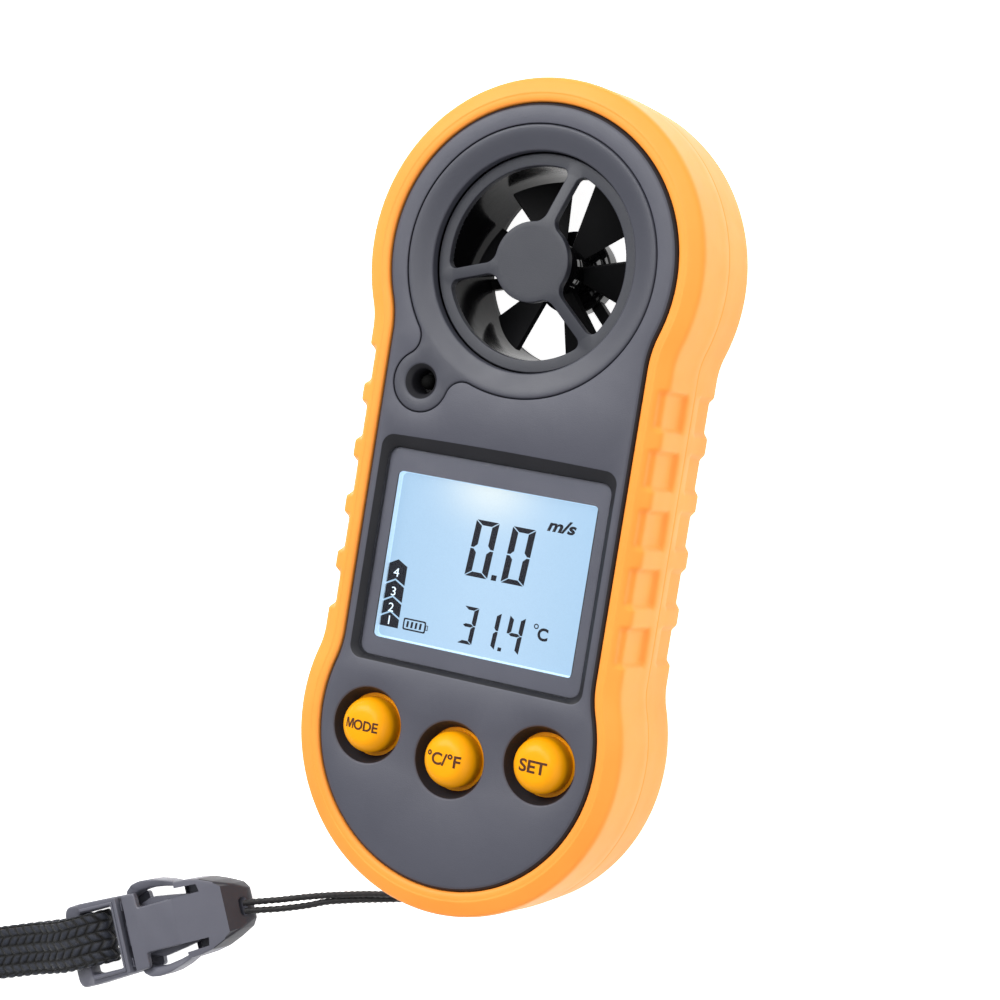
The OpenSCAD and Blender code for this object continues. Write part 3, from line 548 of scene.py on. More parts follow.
def sweep(path, leans, section):
    """A closed tube. leans holds the wished width direction at each point, or one to start from, and
    section(run, point, side, across) gives the ring of points there."""
    rings = []
    run = 0.0
    side = leans[0]
    for i, p in enumerate(path):
        t = (path[min(i + 1, len(path) - 1)] - path[max(i - 1, 0)]).normalized()
        if len(leans) > 1:
            side = leans[i]
        side = (side - t * side.dot(t)).normalized()
        if i:
            run += (p - path[i - 1]).length
        rings.append([tuple(q) for q in section(run, p, side, t.cross(side))])
    b = Build()
    b.loft(rings, capped=True)
    return b


STRING_ROUTE = [
    (-47.5, -84.1, 3.3), (-45.5, -83.4, 3.2), (-43, -82.65, 2.8), (-40.2, -81.8, 2.2),
    (-36, -80.4, 1.8), (-31.5, -79, 1.6), (-26, -77.45, 1.8), (-22, -76.4, 2.1), (-18.3, -75.5, 2.6),
    (-14.5, -74.3, 3.5), (-11, -73.2, 4.3), (-8, -72.5, 5), (-5.4, -71.8, 5.7), (-3, -70.8, 6.1),
    (-1, -69.5, 6.3), (-0.3, -68, 6.2), (0.2, -66.8, 5.4), (0.5, -66.5, 4.4), (0.5, -67, 3.4),
    (0, -68.2, 2.9), (-1.2, -69.8, 2.6), (-3.2, -71.4, 2.3), (-5.6, -72.7, 2), (-8.5, -73.8, 1.7),
    (-12, -74.9, 1.6), (-15.3, -75.75, 1.65), (-18.6, -76.6, 1.6), (-22, -77.5, 1.4),
    (-26, -78.6, 1.2), (-31.3, -80.2, 1.2), (-35, -81.75, 1.4), (-40, -83.5, 2),
    (-43, -84.35, 2.7), (-45.5, -85.05, 3.2), (-46.9, -85.5, 3.3),
]


def build_string():
    """Thin braided string: a tube whose surface rises and falls as crossing strands do."""
    radius, relief, lay = 0.46, 0.085, 1.3
    turns = [2 * math.pi * k / 18 for k in range(18)]

    def section(run, p, side, across):
        twist = run * math.pi / lay
        for a in turns:
            weave = abs(math.sin(2 * a + twist)) + abs(math.sin(2 * a - twist))
            r = radius + relief * weave
            yield p + side * (math.cos(a) * r) - across * (math.sin(a) * r)

    path, _ = smooth_route(STRING_ROUTE, 0.24)
    b = sweep(path, [Vector((0.3, -0.9, 0)).normalized()], section)
    ob = make("string_braid", b, STRING, "case", 70, "string_loop")
    path_m = metres(path[::3] + path[-1:])
    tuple(path_m[0])
    route_length(path) * MM


STRAP_PAIR = [
    (-90.5, -103.45, 1.75, 0), (-93, -104.3, 1.75, 0), (-96.5, -105.55, 1.75, 0),
    (-100, -106.8, 1.75, 0), (-100.6, -107, 1.75, 0), (-102.8, -107.8, 1.9, 2),
    (-105.3, -108.6, 2.7, 12), (-108.4, -109.5, 4.1, 30), (-111.6, -110.2, 5.1, 50),
    (-114.8, -110.6, 5.4, 70), (-117.8, -110.4, 5.2, 86), (-120.6, -109.6, 5.1, 90),
]
STRAP_BAR = [
    (-88.4, -102.7, 0.9), (-85.4, -101.65, 0.95), (-82.3, -100.35, 0.95), (-79.5, -99.05, 0.95),
    (-77.4, -98, 1.1), (-76.3, -97.5, 1.75), (-75.9, -97.3, 2.9), (-76.2, -97.45, 4.1),
    (-77.3, -97.95, 5), (-79.1, -98.8, 5.5), (-81.3, -99.9, 5.75), (-83.4, -100.85, 5.65),
    (-85.1, -101.6, 5), (-86.9, -102.25, 3.95), (-88.6, -102.85, 3.1),
]
STRAP_LOOP = [
    (-123.4, -107.3), (-125.4, -104), (-126.2, -99.5), (-125.8, -88), (-124.8, -70), (-124.8, -50),
    (-126.2, -34), (-129.2, -25.6), (-134.5, -21), (-141, -21.2), (-146.8, -26), (-151, -36),
    (-152.8, -52), (-151, -70), (-146, -85.4), (-138.6, -97.2), (-130.4, -105.6), (-124.6, -109.4),
]
LOOP_Z = 5.1
# How much the upper layer stands clear of the lower one, from the bar down to the seam
STRAP_RISE = [0.3, 0.85, 1.15, 1.1, 0.75, 0.4, 0.15]
STRAP_SEAM = 3
STRAP_W, STRAP_T = 10.0, 1.5
BAR_ANGLE = math.radians(-66.5)
BRAID_OUT, BRAID_SINK = 0.32, 0.22


def strap_stations():
    """Points of the strap's middle line, each with its width direction: up from the seam, round the
    buckle's bar, out, round the loop and back to the seam."""
    shift = STRAP_T / 2 + 0.1
    last = len(STRAP_PAIR) - 1

    def pair(i, sign):
        p, a, c = (Vector(STRAP_PAIR[k][:3]) for k in (i, max(i - 1, 0), min(i + 1, last)))
        t = (c - a).normalized()
        tilt = math.radians(STRAP_PAIR[i][3])
        level = Vector((-t.y, t.x, 0)).normalized()
        lean = level * math.cos(tilt) + Vector((0, 0, math.sin(tilt)))
        return p + t.cross(lean).normalized() * shift * sign, lean

    bar_side = Vector((math.cos(BAR_ANGLE), math.sin(BAR_ANGLE), 0))
    stations = [pair(i, -1) for i in range(STRAP_SEAM, -1, -1)]
    stations += [(Vector(p), bar_side) for p in STRAP_BAR]
    stations += [pair(i, 1) for i in range(last + 1)]
    over_bar = STRAP_SEAM + 1 + len(STRAP_BAR) - len(STRAP_RISE) + 4
    for k, rise in enumerate(STRAP_RISE):
        stations[over_bar + k][0].z += rise
    stations += [(Vector((*p, LOOP_Z)), Vector((0, 0, 1))) for p in STRAP_LOOP]
    return stations + [pair(i, -1) for i in range(last, STRAP_SEAM, -1)]


def build_strap():
    """Flat braided webbing whose yarns stand out of its surface."""
    stations = strap_stations()
    path, leans = smooth_route([s[0] for s in stations], 0.42, [s[1] for s in stations])

    # Cross-section, as a point and its normal: a round edge and a flat side, twice
    outline = []
    w, h = STRAP_W / 2, STRAP_T / 2 - 0.02
    for side in (1, -1):
        for i in range(11):
            a = math.radians(180 - 90 * side - i * 18)
            outline.append((side * (w - h) + h * math.cos(a), h * math.sin(a), math.cos(a), math.sin(a)))
        outline += [(side * (w - h) * (1 - i / 12), -side * h, 0, -side) for i in range(1, 24)]
    around = [0.0]
    for a, c in zip(outline, outline[1:] + outline[:1]):
        around.append(around[-1] + math.hypot(c[0] - a[0], c[1] - a[1]))
    columns = [BRAID_COLUMNS * x / around[-1] for x in around]
    uvs = []

    def section(run, p, lean, thin):
        for (cx, cy, nx, ny), column in zip(outline, columns):
            out = BRAID_OUT * braid_height(run, column) - BRAID_SINK
            uvs.append((run, column))
            yield p + lean * (cx + nx * out) + thin * (cy + ny * out)

    b = sweep(path, leans, section)
    ob = make("webbing_loop", b, WEBBING, "case", 60, "wrist_strap", uvs)
    path_m = metres(path[::2] + path[-1:])
    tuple(path_m[0])
    route_length(path) * MM


build_string()
build_strap()


# ---------- boot

# Edge of the boot: reach past the panel and height, and the same two where a grip is sunk into it
BOOT_EDGE = [
    (-3.0, 1.5), (-3.0, 0.4), (-2.9, 0.12), (-2.65, 0.0), (1.2, 0.0), (1.8, 0.02),
    (2.4, 0.12, 2.4, 0.14), (2.75, 0.25, 2.68, 0.4), (3.0, 0.38, 2.85, 0.8), (3.4, 0.62, 3.05, 1.2),
    (3.8, 1.0, 3.3, 1.5), (4.1, 1.4, 3.5, 1.8), (4.3, 1.9, 3.6, 2.2), (4.42, 2.6, 3.64, 3.0),
    (4.48, 4.0, 3.75, 4.0), (4.55, 6.0, 3.76, 6.0), (4.6, 7.6, 3.8, 7.6), (4.62, 8.2, 3.85, 8.2),
    (4.64, 8.7, 4.25, 8.6), (4.66, 9.2, 4.58, 9.0), (4.7, 11.1), (4.7, 11.45), (4.66, 11.5),
    (4.66, 11.6), (4.68, 11.65), (4.66, 13.2), (4.65, 13.7, 4.52, 13.85), (4.64, 14.0, 4.2, 14.15),
    (4.62, 14.4, 3.82, 14.5), (4.6, 15.0, 3.68, 14.95), (4.58, 16.0, 3.65, 16.0),
    (4.55, 18.0, 3.64, 18.0), (4.52, 20.2, 3.63, 20.0), (4.5, 20.9, 3.6, 20.6),
    (4.45, 21.35, 3.52, 21.05), (4.33, 21.7, 3.35, 21.3), (4.12, 21.93, 3.12, 21.42),
    (3.8, 22.1, 2.95, 21.55), (3.4, 22.26, 2.82, 21.8), (3.0, 22.42, 2.74, 22.1),
    (2.7, 22.54, 2.66, 22.4), (2.45, 22.64, 2.45, 22.62), (2.1, 22.77), (1.85, 22.85), (1.72, 22.88),
    (1.6, 22.86), (1.5, 22.82), (1.3, 22.84), (0.9, 22.85), (0.5, 22.78), (0.22, 22.6), (0.1, 22.3),
    (0.1, 21.0), (1.7, 21.0), (1.7, 1.5),
]
GRIP_Y = [19.2 - 9.9 * i for i in range(5)]
GRIP_HALF, GRIP_FADE = 2.45, 3.75


def build_boot():
    def outline(grow):
        return case_outline(grow, straight=190, head=190, neck=26, foot=180)

    depths = [
        max(1 - step(abs(y - grip), GRIP_HALF, GRIP_FADE) for grip in GRIP_Y)
        if NECK_FOOT_Y < y < NECK_HEAD_Y else 0.0
        for _, y in outline(4.5)
    ]
    rings = []
    for reach, z, *sunk in BOOT_EDGE:
        plain = lift(outline(reach), z)
        low = lift(outline(sunk[0]), sunk[1]) if sunk else plain
        rings.append([mix(p, q, depth) for p, q, depth in zip(plain, low, depths)])
    b = Build()
    b.loft(rings, wrap=True)
    ob = make("boot_skin", b, ORANGE, "case", 50, "rubber_boot")
    notch = box(-7, 7, -90, -64)
    cut(ob, lift(notch, -3), lift(notch, 8))


build_boot()


# ---------- front panel

def bezel_plan(grow):
    """Disc with a tab round the temperature hole, blended with hollow curves."""
    blend, tab_r, disc_r = 3.4, 5.3, 23.3
    tx, ty = SENSOR[0], SENSOR[1] - HEAD_Y
    apart = math.hypot(tx, ty)
    along = ((disc_r + blend) ** 2 - (tab_r + blend) ** 2 + apart ** 2) / (2 * apart)
    off = math.sqrt((disc_r + blend) ** 2 - along ** 2)
    heading = math.degrees(math.atan2(ty, tx))
    at_disc = math.degrees(math.atan2(off, along))
    at_tab = math.degrees(math.atan2(off, along - apart))
    pts = arc(0, 0, disc_r + grow, at_disc, 360 - at_disc, 170)
    pts += arc(along, -off, blend - grow, 180 - at_disc, 180 - at_tab, 10)
    pts += arc(apart, 0, tab_r + grow, -at_tab, at_tab, 60)
    pts += arc(along, off, blend - grow, 180 + at_tab, 180 + at_disc, 10)
    c, s = math.cos(math.radians(heading)), math.sin(math.radians(heading))
    return [(x * c - y * s, x * s + y * c + HEAD_Y) for x, y in pts]


def lens_rim(side, low, high, corner, arch=0.0):
    """Outline round the lens: how far it reaches past the lens at its sides, foot and top."""
    w, top = LENS_W + side, LENS_Y + LENS_H
    pts = rounded(w, LENS_Y - LENS_H - low, top + high, corner, 10)
    dense = []
    for i, p in enumerate(pts):
        q = pts[(i + 1) % len(pts)]
        n = 18 if i % 11 == 10 else 1
        dense += [mix(p, q, k / n) for k in range(n)]
    return [(x, y + (arch * (1 - (x / w) ** 2) if y > top - 1 else 0.0)) for x, y in dense]


def build_panel():
    b = Build()
    edge = below_face([(-0.95, 0), (-0.8, 0.04), (-0.5, 0.2), (-0.2, 0.45), (-0.03, 0.75), (0.0, 1.1),
                       (0.0, 2.0), (1.6, 2.0), (1.6, 11.0)])
    rims = [lift(case_outline(g, head=200, foot=190, neck=18), z) for g, z in edge]
    b.loft(rims)
    groove = below_face([(0.34, 0), (0.24, 0.03), (0.15, 0.14), (0.12, 0.3), (0.12, 1.4), (-1.5, 1.4)])
    grooves = [lift(bezel_plan(g), z) for g, z in groove]
    b.loft(grooves)
    recess = [
        (0, lens_rim(1.35, 1.0, 2.2, 2.2, 0.35)), (0.06, lens_rim(1.2, 0.85, 2.05, 2.2, 0.32)),
        (0.62, lens_rim(0.55, 0.4, 1.0, 2.1, 0.1)), (0.95, lens_rim(0.2, 0.2, 0.25, 2.05)),
        (1.1, lens_rim(0.1, 0.1, 0.1, 2.0)), (1.75, lens_rim(0.1, 0.1, 0.1, 2.0)),
        (1.75, lens_rim(-2.2, -3.0, -3.0, 1.0)),
    ]
    b.loft([lift(rim, FACE_Z - depth) for depth, rim in recess])
    cup = below_face([(6.95, 0), (6.8, 0.05), (6.62, 0.22), (6.5, 0.5), (5.75, 2.5), (5.55, 2.7),
                      (5.5, 3.1)])
    for x, y in BUTTONS.values():
        revolve(b, x, y, cup, 80)
    cups = [circle(x, y, cup[0][0], 80) for x, y in BUTTONS.values()]
    b.fill(rims[0], [grooves[0], recess[0][1]] + cups, FACE_Z)
    ob = make("front_panel_skin", b, PANEL, "case", 40, "front_shell")
    # Painted shade on every panel face whose centre lies more than 0.14 mm below the front face
    second_material(ob, PAINTED_RECESS_SHADE, lambda centre, normal: centre.z < FACE_Z - 0.14)


def build_bezel():
    b = Build()
    edge = below_face([(-0.3, 0), (-0.2, 0.03), (-0.08, 0.12), (0.0, 0.28), (0.0, 1.38)])
    rims = [lift(bezel_plan(g), z) for g, z in edge]
    b.loft(rims)
    dish = below_face([(22.75, 0), (22.5, 0.02), (22.1, 0.09), (21.5, 0.26), (20.6, 0.56), (19.8, 0.86),
                       (19.35, 1.0), (19.15, 1.06), (19.02, 1.16), (18.95, 1.34), (18.92, 2.6),
                       (19.4, 3.08)])
    revolve(b, 0, HEAD_Y, dish, 180)
    sink = below_face([(3.3, 0), (3.18, 0.05), (3.05, 0.16), (2.4, 0.95), (2.28, 1.1), (2.22, 1.4),
                       (2.22, 5.5), (1.3, 5.6)])
    revolve(b, *SENSOR, sink, 64)
    b.fill(rims[0], [circle(0, HEAD_Y, dish[0][0], 180), circle(*SENSOR, sink[0][0], 64)], FACE_Z)
    ob = make("vane_bezel_skin", b, BEZEL, "case", 40, "vane_bezel")
    # Painted shade on the sink's walls round the temperature hole
    second_material(ob, PAINTED_RECESS_SHADE, lambda centre, normal: centre.z < FACE_Z - 0.5
                    and math.hypot(centre.x - SENSOR[0], centre.y - SENSOR[1]) < 3.0)


build_panel()
build_bezel()


# ---------- front grille

def window_loop(low, high):
    """The opening between two spokes, with filleted corners."""
    half, hub_r, ring_r = 1.0, 2.3, 1.3
    hub = math.sqrt((HUB_R + hub_r) ** 2 - (half + hub_r) ** 2)
    ring = math.sqrt((RING_IN - ring_r) ** 2 - (half + ring_r) ** 2)
    hub_turn = math.degrees(math.atan2(half + hub_r, hub))
    ring_turn = math.degrees(math.atan2(half + ring_r, ring))

    def at(angle, along, across):
        a = math.radians(angle)
        return (along * math.cos(a) - across * math.sin(a),
                HEAD_Y + along * math.sin(a) + across * math.cos(a))

    return (
        arc(*at(low, hub, half + hub_r), hub_r, low + hub_turn + 180, low + 270, 8)
        + [at(low, hub + (ring - hub) * k / 8, half) for k in range(8)]
        + arc(*at(low, ring, half + ring_r), ring_r, low - 90, low + ring_turn, 7)
        + arc(0, HEAD_Y, RING_IN, low + ring_turn, high - ring_turn, 56)
        + arc(*at(high, ring, -half - ring_r), ring_r, high - ring_turn, high + 90, 7)
        + [at(high, ring + (hub - ring) * k / 8, -half) for k in range(8)]
        + arc(*at(high, hub, -half - hub_r), hub_r, high + 90, high - hub_turn + 180, 8)
        + arc(0, HEAD_Y, HUB_R, high - hub_turn, low + hub_turn, 30)
    )


def grille_top(x, y):
    r = math.hypot(x, y - HEAD_Y)
    hub, ring = 7.6, 16.4
    if r < hub:
        return 22.3 - 0.06 * step(r, 6.2, hub)
    if r > ring:
        return RING_TOP
    t = (r - hub) / (ring - hub)
    return 22.24 + (RING_TOP - 22.24) * (0.85 * t + 0.15 * t * t)


def build_grille():
    b = Build()
    windows = [window_loop(low, high) for low, high in zip(SPOKES, (*SPOKES[1:], SPOKES[0] + 360))]
    bevel = [(0.22, 0.0), (0.1, 0.03), (0.03, 0.1), (0.0, 0.24), (0.0, 1.55)]
    for loop in windows:
        b.loft([[(x, y, grille_top(x, y) - drop) for x, y in grown(loop, d)] for d, drop in bevel])
    outer = circle(0, HEAD_Y, RING_OUT - 0.15, 160)
    rim = circle(0, HEAD_Y, RING_OUT, 160)
    b.loft([lift(outer, RING_TOP), lift(rim, RING_TOP - 0.15), lift(rim, RING_TOP - 1.3)])
    extra = [circle(0, HEAD_Y, r, 60) for r in (2.0, 4.5, 6.0)]
    b.fill(outer, [grown(loop, bevel[0][0]) for loop in windows], grille_top, extra)
    b.fill(rim, [grown(loop, 0.0) for loop in windows], lambda x, y: grille_top(x, y) - bevel[-1][1])
    make("front_grille_skin", b, GRILLE, "case", 38, "front_grille")


def build_collars():
    """Glossy turned steps behind the front hub, on the impeller's hub and on the rear hub."""
    steps = {
        "front_collar": ("case", [
            (6.3, 21.1), (6.2, 20.5), (5.9, 20.35), (5.45, 20.3), (5.4, 19.6), (5.6, 19.45),
            (5.6, 19.1), (5.3, 18.95), (4.95, 18.9), (4.9, 18.1), (4.6, 17.85), (1.9, 17.8)]),
        "impeller_collar": ("impeller", [
            (2.2, 15.6), (2.3, 14.9), (3.2, 14.8), (3.4, 14.6), (3.4, 13.6), (4.3, 13.45), (4.5, 13.2),
            (4.5, 12.3), (4.28, 12.1), (4.28, 11.6), (4.4, 11.4), (4.4, 10.9), (4.25, 10.8), (4.22, 7.0)]),
        "rear_collar": ("case", [
            (4.3, 6.0), (5.6, 5.9), (5.9, 5.7), (5.9, 5.45), (6.9, 5.42), (7.3, 5.2), (7.32, 4.6),
            (7.32, 2.6)]),
    }
    for name, (body, profile) in steps.items():
        b = Build()
        revolve(b, 0, HEAD_Y, profile, 72)
        make(name, b, COLLAR_BLACK, body, 35)


build_grille()
build_collars()


# ---------- display

def view_edge(inset=0.0):
    """Edge of what shows of the display."""
    return rounded(VIEW_W - inset, VIEW_LOW + inset, VIEW_HIGH - inset, VIEW_R, 6)


def build_display():
    b = Build()
    edge = [(-0.15, 0.0, 1.9), (-0.05, 0.03, 1.95), (0, 0.15, 2.0), (0, LENS_TOP - LENS_FOOT, 2.0)]
    rims = [lift(lens_rim(d, d, d, corner), LENS_TOP - drop) for d, drop, corner in edge]
    b.loft(rims)
    b.fill(rims[0], [], LENS_TOP)
    b.fill(rims[-1], [], LENS_FOOT)
    make("lens_pane", b, LENS, "case", 40, "display_lens")

    b = Build()
    outer = lens_rim(-0.02, -0.02, -0.02, 1.95)
    b.loft([lift(outer, MASK_TOP), lift(outer, MASK_FOOT)])
    b.loft([lift(view_edge(), MASK_TOP), lift(view_edge(), GLOW_Z)])
    b.fill(outer, [view_edge()], MASK_TOP)
    b.fill(outer, [view_edge()], MASK_FOOT)
    make("display_mask", b, MASK, "case", 40)


def slanted(loop, foot):
    """A loop of the display's digits, leaning to the right above the height foot."""
    return [(x + (y - foot) * LEAN, y) for x, y in loop]


def digit(b, x0, x1, y0, y1, t, h, on):
    """A seven-segment digit whose lower left is (x0, y0); t and h are how thick its upright and its
    level strokes are."""
    ym = (y0 + y1) / 2
    g = t * 0.1

    def level(y, turn):
        return [(x0 + g, y), (x1 - g, y), (x1 - t - g, y + turn * h), (x0 + t + g, y + turn * h)]

    def upright(x, across, y, turn):
        return [(x, y + turn * g), (x, ym - turn * g), (x + across * t / 2, ym - turn * g),
                (x + across * t, ym - turn * (g + t / 2)), (x + across * t, y + turn * (h + g))]

    bars = {
        "a": level(y1, -1), "b": upright(x1, -1, y1, -1), "c": upright(x1, -1, y0, 1),
        "d": level(y0, 1), "e": upright(x0, 1, y0, 1), "f": upright(x0, 1, y1, -1),
        "g": [(x0 + t / 2, ym), (x0 + t + g, ym + h / 2), (x1 - t - g, ym + h / 2), (x1 - t / 2, ym),
              (x1 - t - g, ym - h / 2), (x0 + t + g, ym - h / 2)],
    }
    for key in on:
        b.flat(slanted(bars[key], y0), INK_Z)


def finer(bm):
    bmesh.ops.triangulate(bm, faces=bm.faces)
    bmesh.ops.subdivide_edges(bm, edges=bm.edges, cuts=3, use_grid_fill=True)


def words(text, x, y, height, z, shear=0.0, bold=0.0, wide=1.0, align="LEFT", fine=False):
    """Letters as flat faces in millimetres, fine enough to drape if asked: (vertices, faces)."""
    curve = bpy.data.curves.new("words", "FONT")
    curve.body = text
    curve.size = height * 1.37
    curve.shear = shear
    curve.offset = bold
    curve.align_x = align
    ob = put("words", curve)
    mesh = evaluated(ob)
    bpy.data.objects.remove(ob)
    if fine:
        bm = bmesh.new()
        bm.from_mesh(mesh)
        finer(bm)
        bm.to_mesh(mesh)
        bm.free()
    verts = [(v.co.x * wide + x, v.co.y + y, z) for v in mesh.vertices]
    return verts, [tuple(p.vertices) for p in mesh.polygons]


def letter_m(x, y, wide, tall):
    """A capital M whose middle reaches the foot line, as triangles fine enough to drape."""
    shape = [(0, 0), (0, 1), (0.27, 1), (0.5, 0.36), (0.73, 1), (1, 1), (1, 0), (0.83, 0), (0.83, 0.74),
             (0.58, 0.02), (0.42, 0.02), (0.17, 0.74), (0.17, 0)]
    bm = bmesh.new()
    bm.faces.new([bm.verts.new((u, v, 0)) for u, v in shape])
    finer(bm)
    bm.verts.index_update()
    verts = [(x + v.co.x * wide, y + v.co.y * tall, 0) for v in bm.verts]
    faces = [tuple(v.index for v in f.verts) for f in bm.faces]
    bm.free()
    return verts, faces


def build_marks():
    b, numbers, glow = Build(), Build(), Build()
    large, small = (-14.0, -4.15, 1.22, 0.85), (-25.65, -19.15, 0.82, 0.58)
    for x0, x1, size, on in ((-4.4, 0.05, large, "abcdef"), (2.65, 7.1, large, "abcdef"),
                             (-3.8, -0.95, small, "abcdg"), (0.55, 3.45, small, "bc"),
                             (5.1, 8.1, small, "bcfg")):
        digit(b, x0, x1, *size, on)
    for x0, x1, y0, y1 in ((0.75, 1.75, -14.0, -13.05), (4.1, 4.8, -25.65, -25.0)):
        b.flat(slanted(box(x0, x1, y0, y1), y0 + 0.05), INK_Z)
    b.add(*words("m/s", 9.7, -3.75, 2.05, INK_Z, shear=0.28, bold=0.1, wide=1.28))
    b.add(*words("C", 11.1, -22.3, 2.1, INK_Z, bold=0.1))
    b.loft([lift(circle(10.7, -20.15, r, 20), INK_Z) for r in (0.46, 0.26)])
    # Four stacked pointers with a number in each
    x = -17.55
    for number, top, foot, notch in (("4", -13.6, -18.0, 1.0), ("3", -17.3, -21.0, 1.0),
                                     ("2", -20.3, -23.65, 1.0), ("1", -22.95, -25.5, 0.0)):
        b.flat([(x - 1.95, top - 1.05), (x, top), (x + 1.95, top - 1.05), (x + 1.95, foot),
                (x, foot + notch), (x - 1.95, foot)], INK_Z)
        numbers.add(*words(number, x, (top + foot) / 2 - 0.85, 1.6, INK_Z + 0.02, wide=1.12,
                           align="CENTER"))
    # Battery sign
    for outer, inner in (
        (rounded(2.25, -1.05, 1.05, 0.3, 4), rounded(1.98, -0.78, 0.78, 0.2, 4)),
        (box(2.25, 2.7, -0.45, 0.45), box(2.35, 2.57, -0.32, 0.32)),
    ):
        b.loft([[(x - 12.45, y - 24.4, INK_Z) for x, y in loop] for loop in (outer, inner)])
    for i in range(4):
        x = -14.05 + 0.85 * i
        b.flat([(x, -24.95), (x + 0.42, -24.95), (x + 0.5, -23.85), (x + 0.08, -23.85)], INK_Z)
    make("display_segments", b, INK, "case", 40)
    glow.loft([lift(view_edge(0.02), GLOW_Z), lift(view_edge(0.02), INK_Z), lift(view_edge(0.2), INK_Z)])
    make("display_edge", glow, EDGE_GLOW, "case", 40)
    make("display_numbers", numbers, PALE_INK, "case", 40)


build_display()
build_marks()


# ---------- buttons

def cap_height(r):
    """Height of a button's cap at distance r from its axis: a slight crown with a round shoulder."""
    flat = CAP_R - SHOULDER
    crown = CAP_TOP - 0.55 * (r / CAP_R) ** 2
    if r <= flat:
        return crown
    return crown - SHOULDER + math.sqrt(max(0.0, SHOULDER ** 2 - (r - flat) ** 2))


def build_buttons():
    legends = {"left": ("MODE", 1.75, 0.94, -0.25, 0.1, 0.065),
               "middle": ("°C/°F", 2.1, 1.03, -0.2, 0.25, 0.07),
               "right": ("SET", 2.15, 1.12, -0.2, 0.0, 0.075)}
    turns = [math.radians(90 * k / 14) for k in range(15)]
    radii = [0.001, 0.8, 1.6] + [CAP_R - SHOULDER + SHOULDER * math.sin(t) for t in turns]
    profile = [(r, cap_height(r)) for r in radii]
    profile += [(CAP_R, FLANGE_TOP), (FLANGE_R, FLANGE_TOP), (FLANGE_R, FLANGE_FOOT), (0.001, FLANGE_FOOT)]
    for side, (x, y) in BUTTONS.items():
        b = Build()
        revolve(b, x, y, profile, 72)
        make("dome_" + side, b, BUTTON, side + "_button", 50, "button_" + side)
        text, size, wide, dx, dy, bold = legends[side]
        legend = Build()
        if text[0] == "M":
            legend.add(*letter_m(dx - 2.85, dy - size / 2, 1.55, size))
            text, dx = text[1:], dx + 1.05
        legend.add(*words(text, dx, dy - size / 2, size, 0, bold=bold, wide=wide, align="CENTER",
                          fine=True))
        legend.verts = [(x + u, y + v, cap_height(min(math.hypot(u, v), CAP_R - 0.1)) + 0.05)
                        for u, v, _ in legend.verts]
        make("legend_" + side, legend, LEGEND, side + "_button", 40)


build_buttons()


# ---------- buckle

# Its own coordinates run from the nose towards the strap, and across
ALONG = (math.cos(BUCKLE_TURN), math.sin(BUCKLE_TURN))


def buckle_place(points):
    c, s = ALONG
    return [(NOSE[0] + u * c - v * s, NOSE[1] + u * s + v * c, z) for u, v, z in points]


def fillet(loop, radius, n=5):
    """Rounds every corner of a polygon; radius is one number, or one for each corner."""
    out = []
    for i, corner in enumerate(loop):
        r = radius[i] if isinstance(radius, list) else radius
        p = Vector(corner)
        da, dc = Vector(loop[i - 1]) - p, Vector(loop[(i + 1) % len(loop)]) - p
        la, lc = da.length, dc.length
        da.normalize()
        dc.normalize()
        angle = math.acos(max(-1, min(1, da.dot(dc))))
        reach = min(r / math.tan(angle / 2), la * 0.48, lc * 0.48)
        start, end = p + da * reach, p + dc * reach
        for k in range(n + 1):
            t = k / n
            q = start * (1 - t) ** 2 + p * (2 * t * (1 - t)) + end * t * t
            out.append((q.x, q.y))
    return out


def plate(b, outer, holes, top, bottom, bevel, cuts=()):
    """A flat piece with softened edges. top and bottom are heights or functions of (x, y)."""
    top, bottom = surface(top), surface(bottom)
    curve = [(bevel, 0.0), (bevel * 0.55, bevel * 0.1), (bevel * 0.18, bevel * 0.42), (0.0, bevel)]
    for loop, sign in [(outer, -1)] + [(h, 1) for h in holes]:
        rings = [[(*p, top(*p) - drop) for p in grown(loop, sign * d)] for d, drop in curve]
        rings += [[(*p, bottom(*p) + drop) for p in grown(loop, sign * d)] for d, drop in curve[::-1]]
        b.loft([buckle_place(r) for r in rings])
    for height in (top, bottom):
        part = Build()
        part.fill(grown(outer, -bevel), [grown(h, bevel) for h in holes], height, cuts=cuts)
        b.add(buckle_place(part.verts), part.faces)


def mirrored(points):
    return [(u, -v) for u, v in reversed(points)]


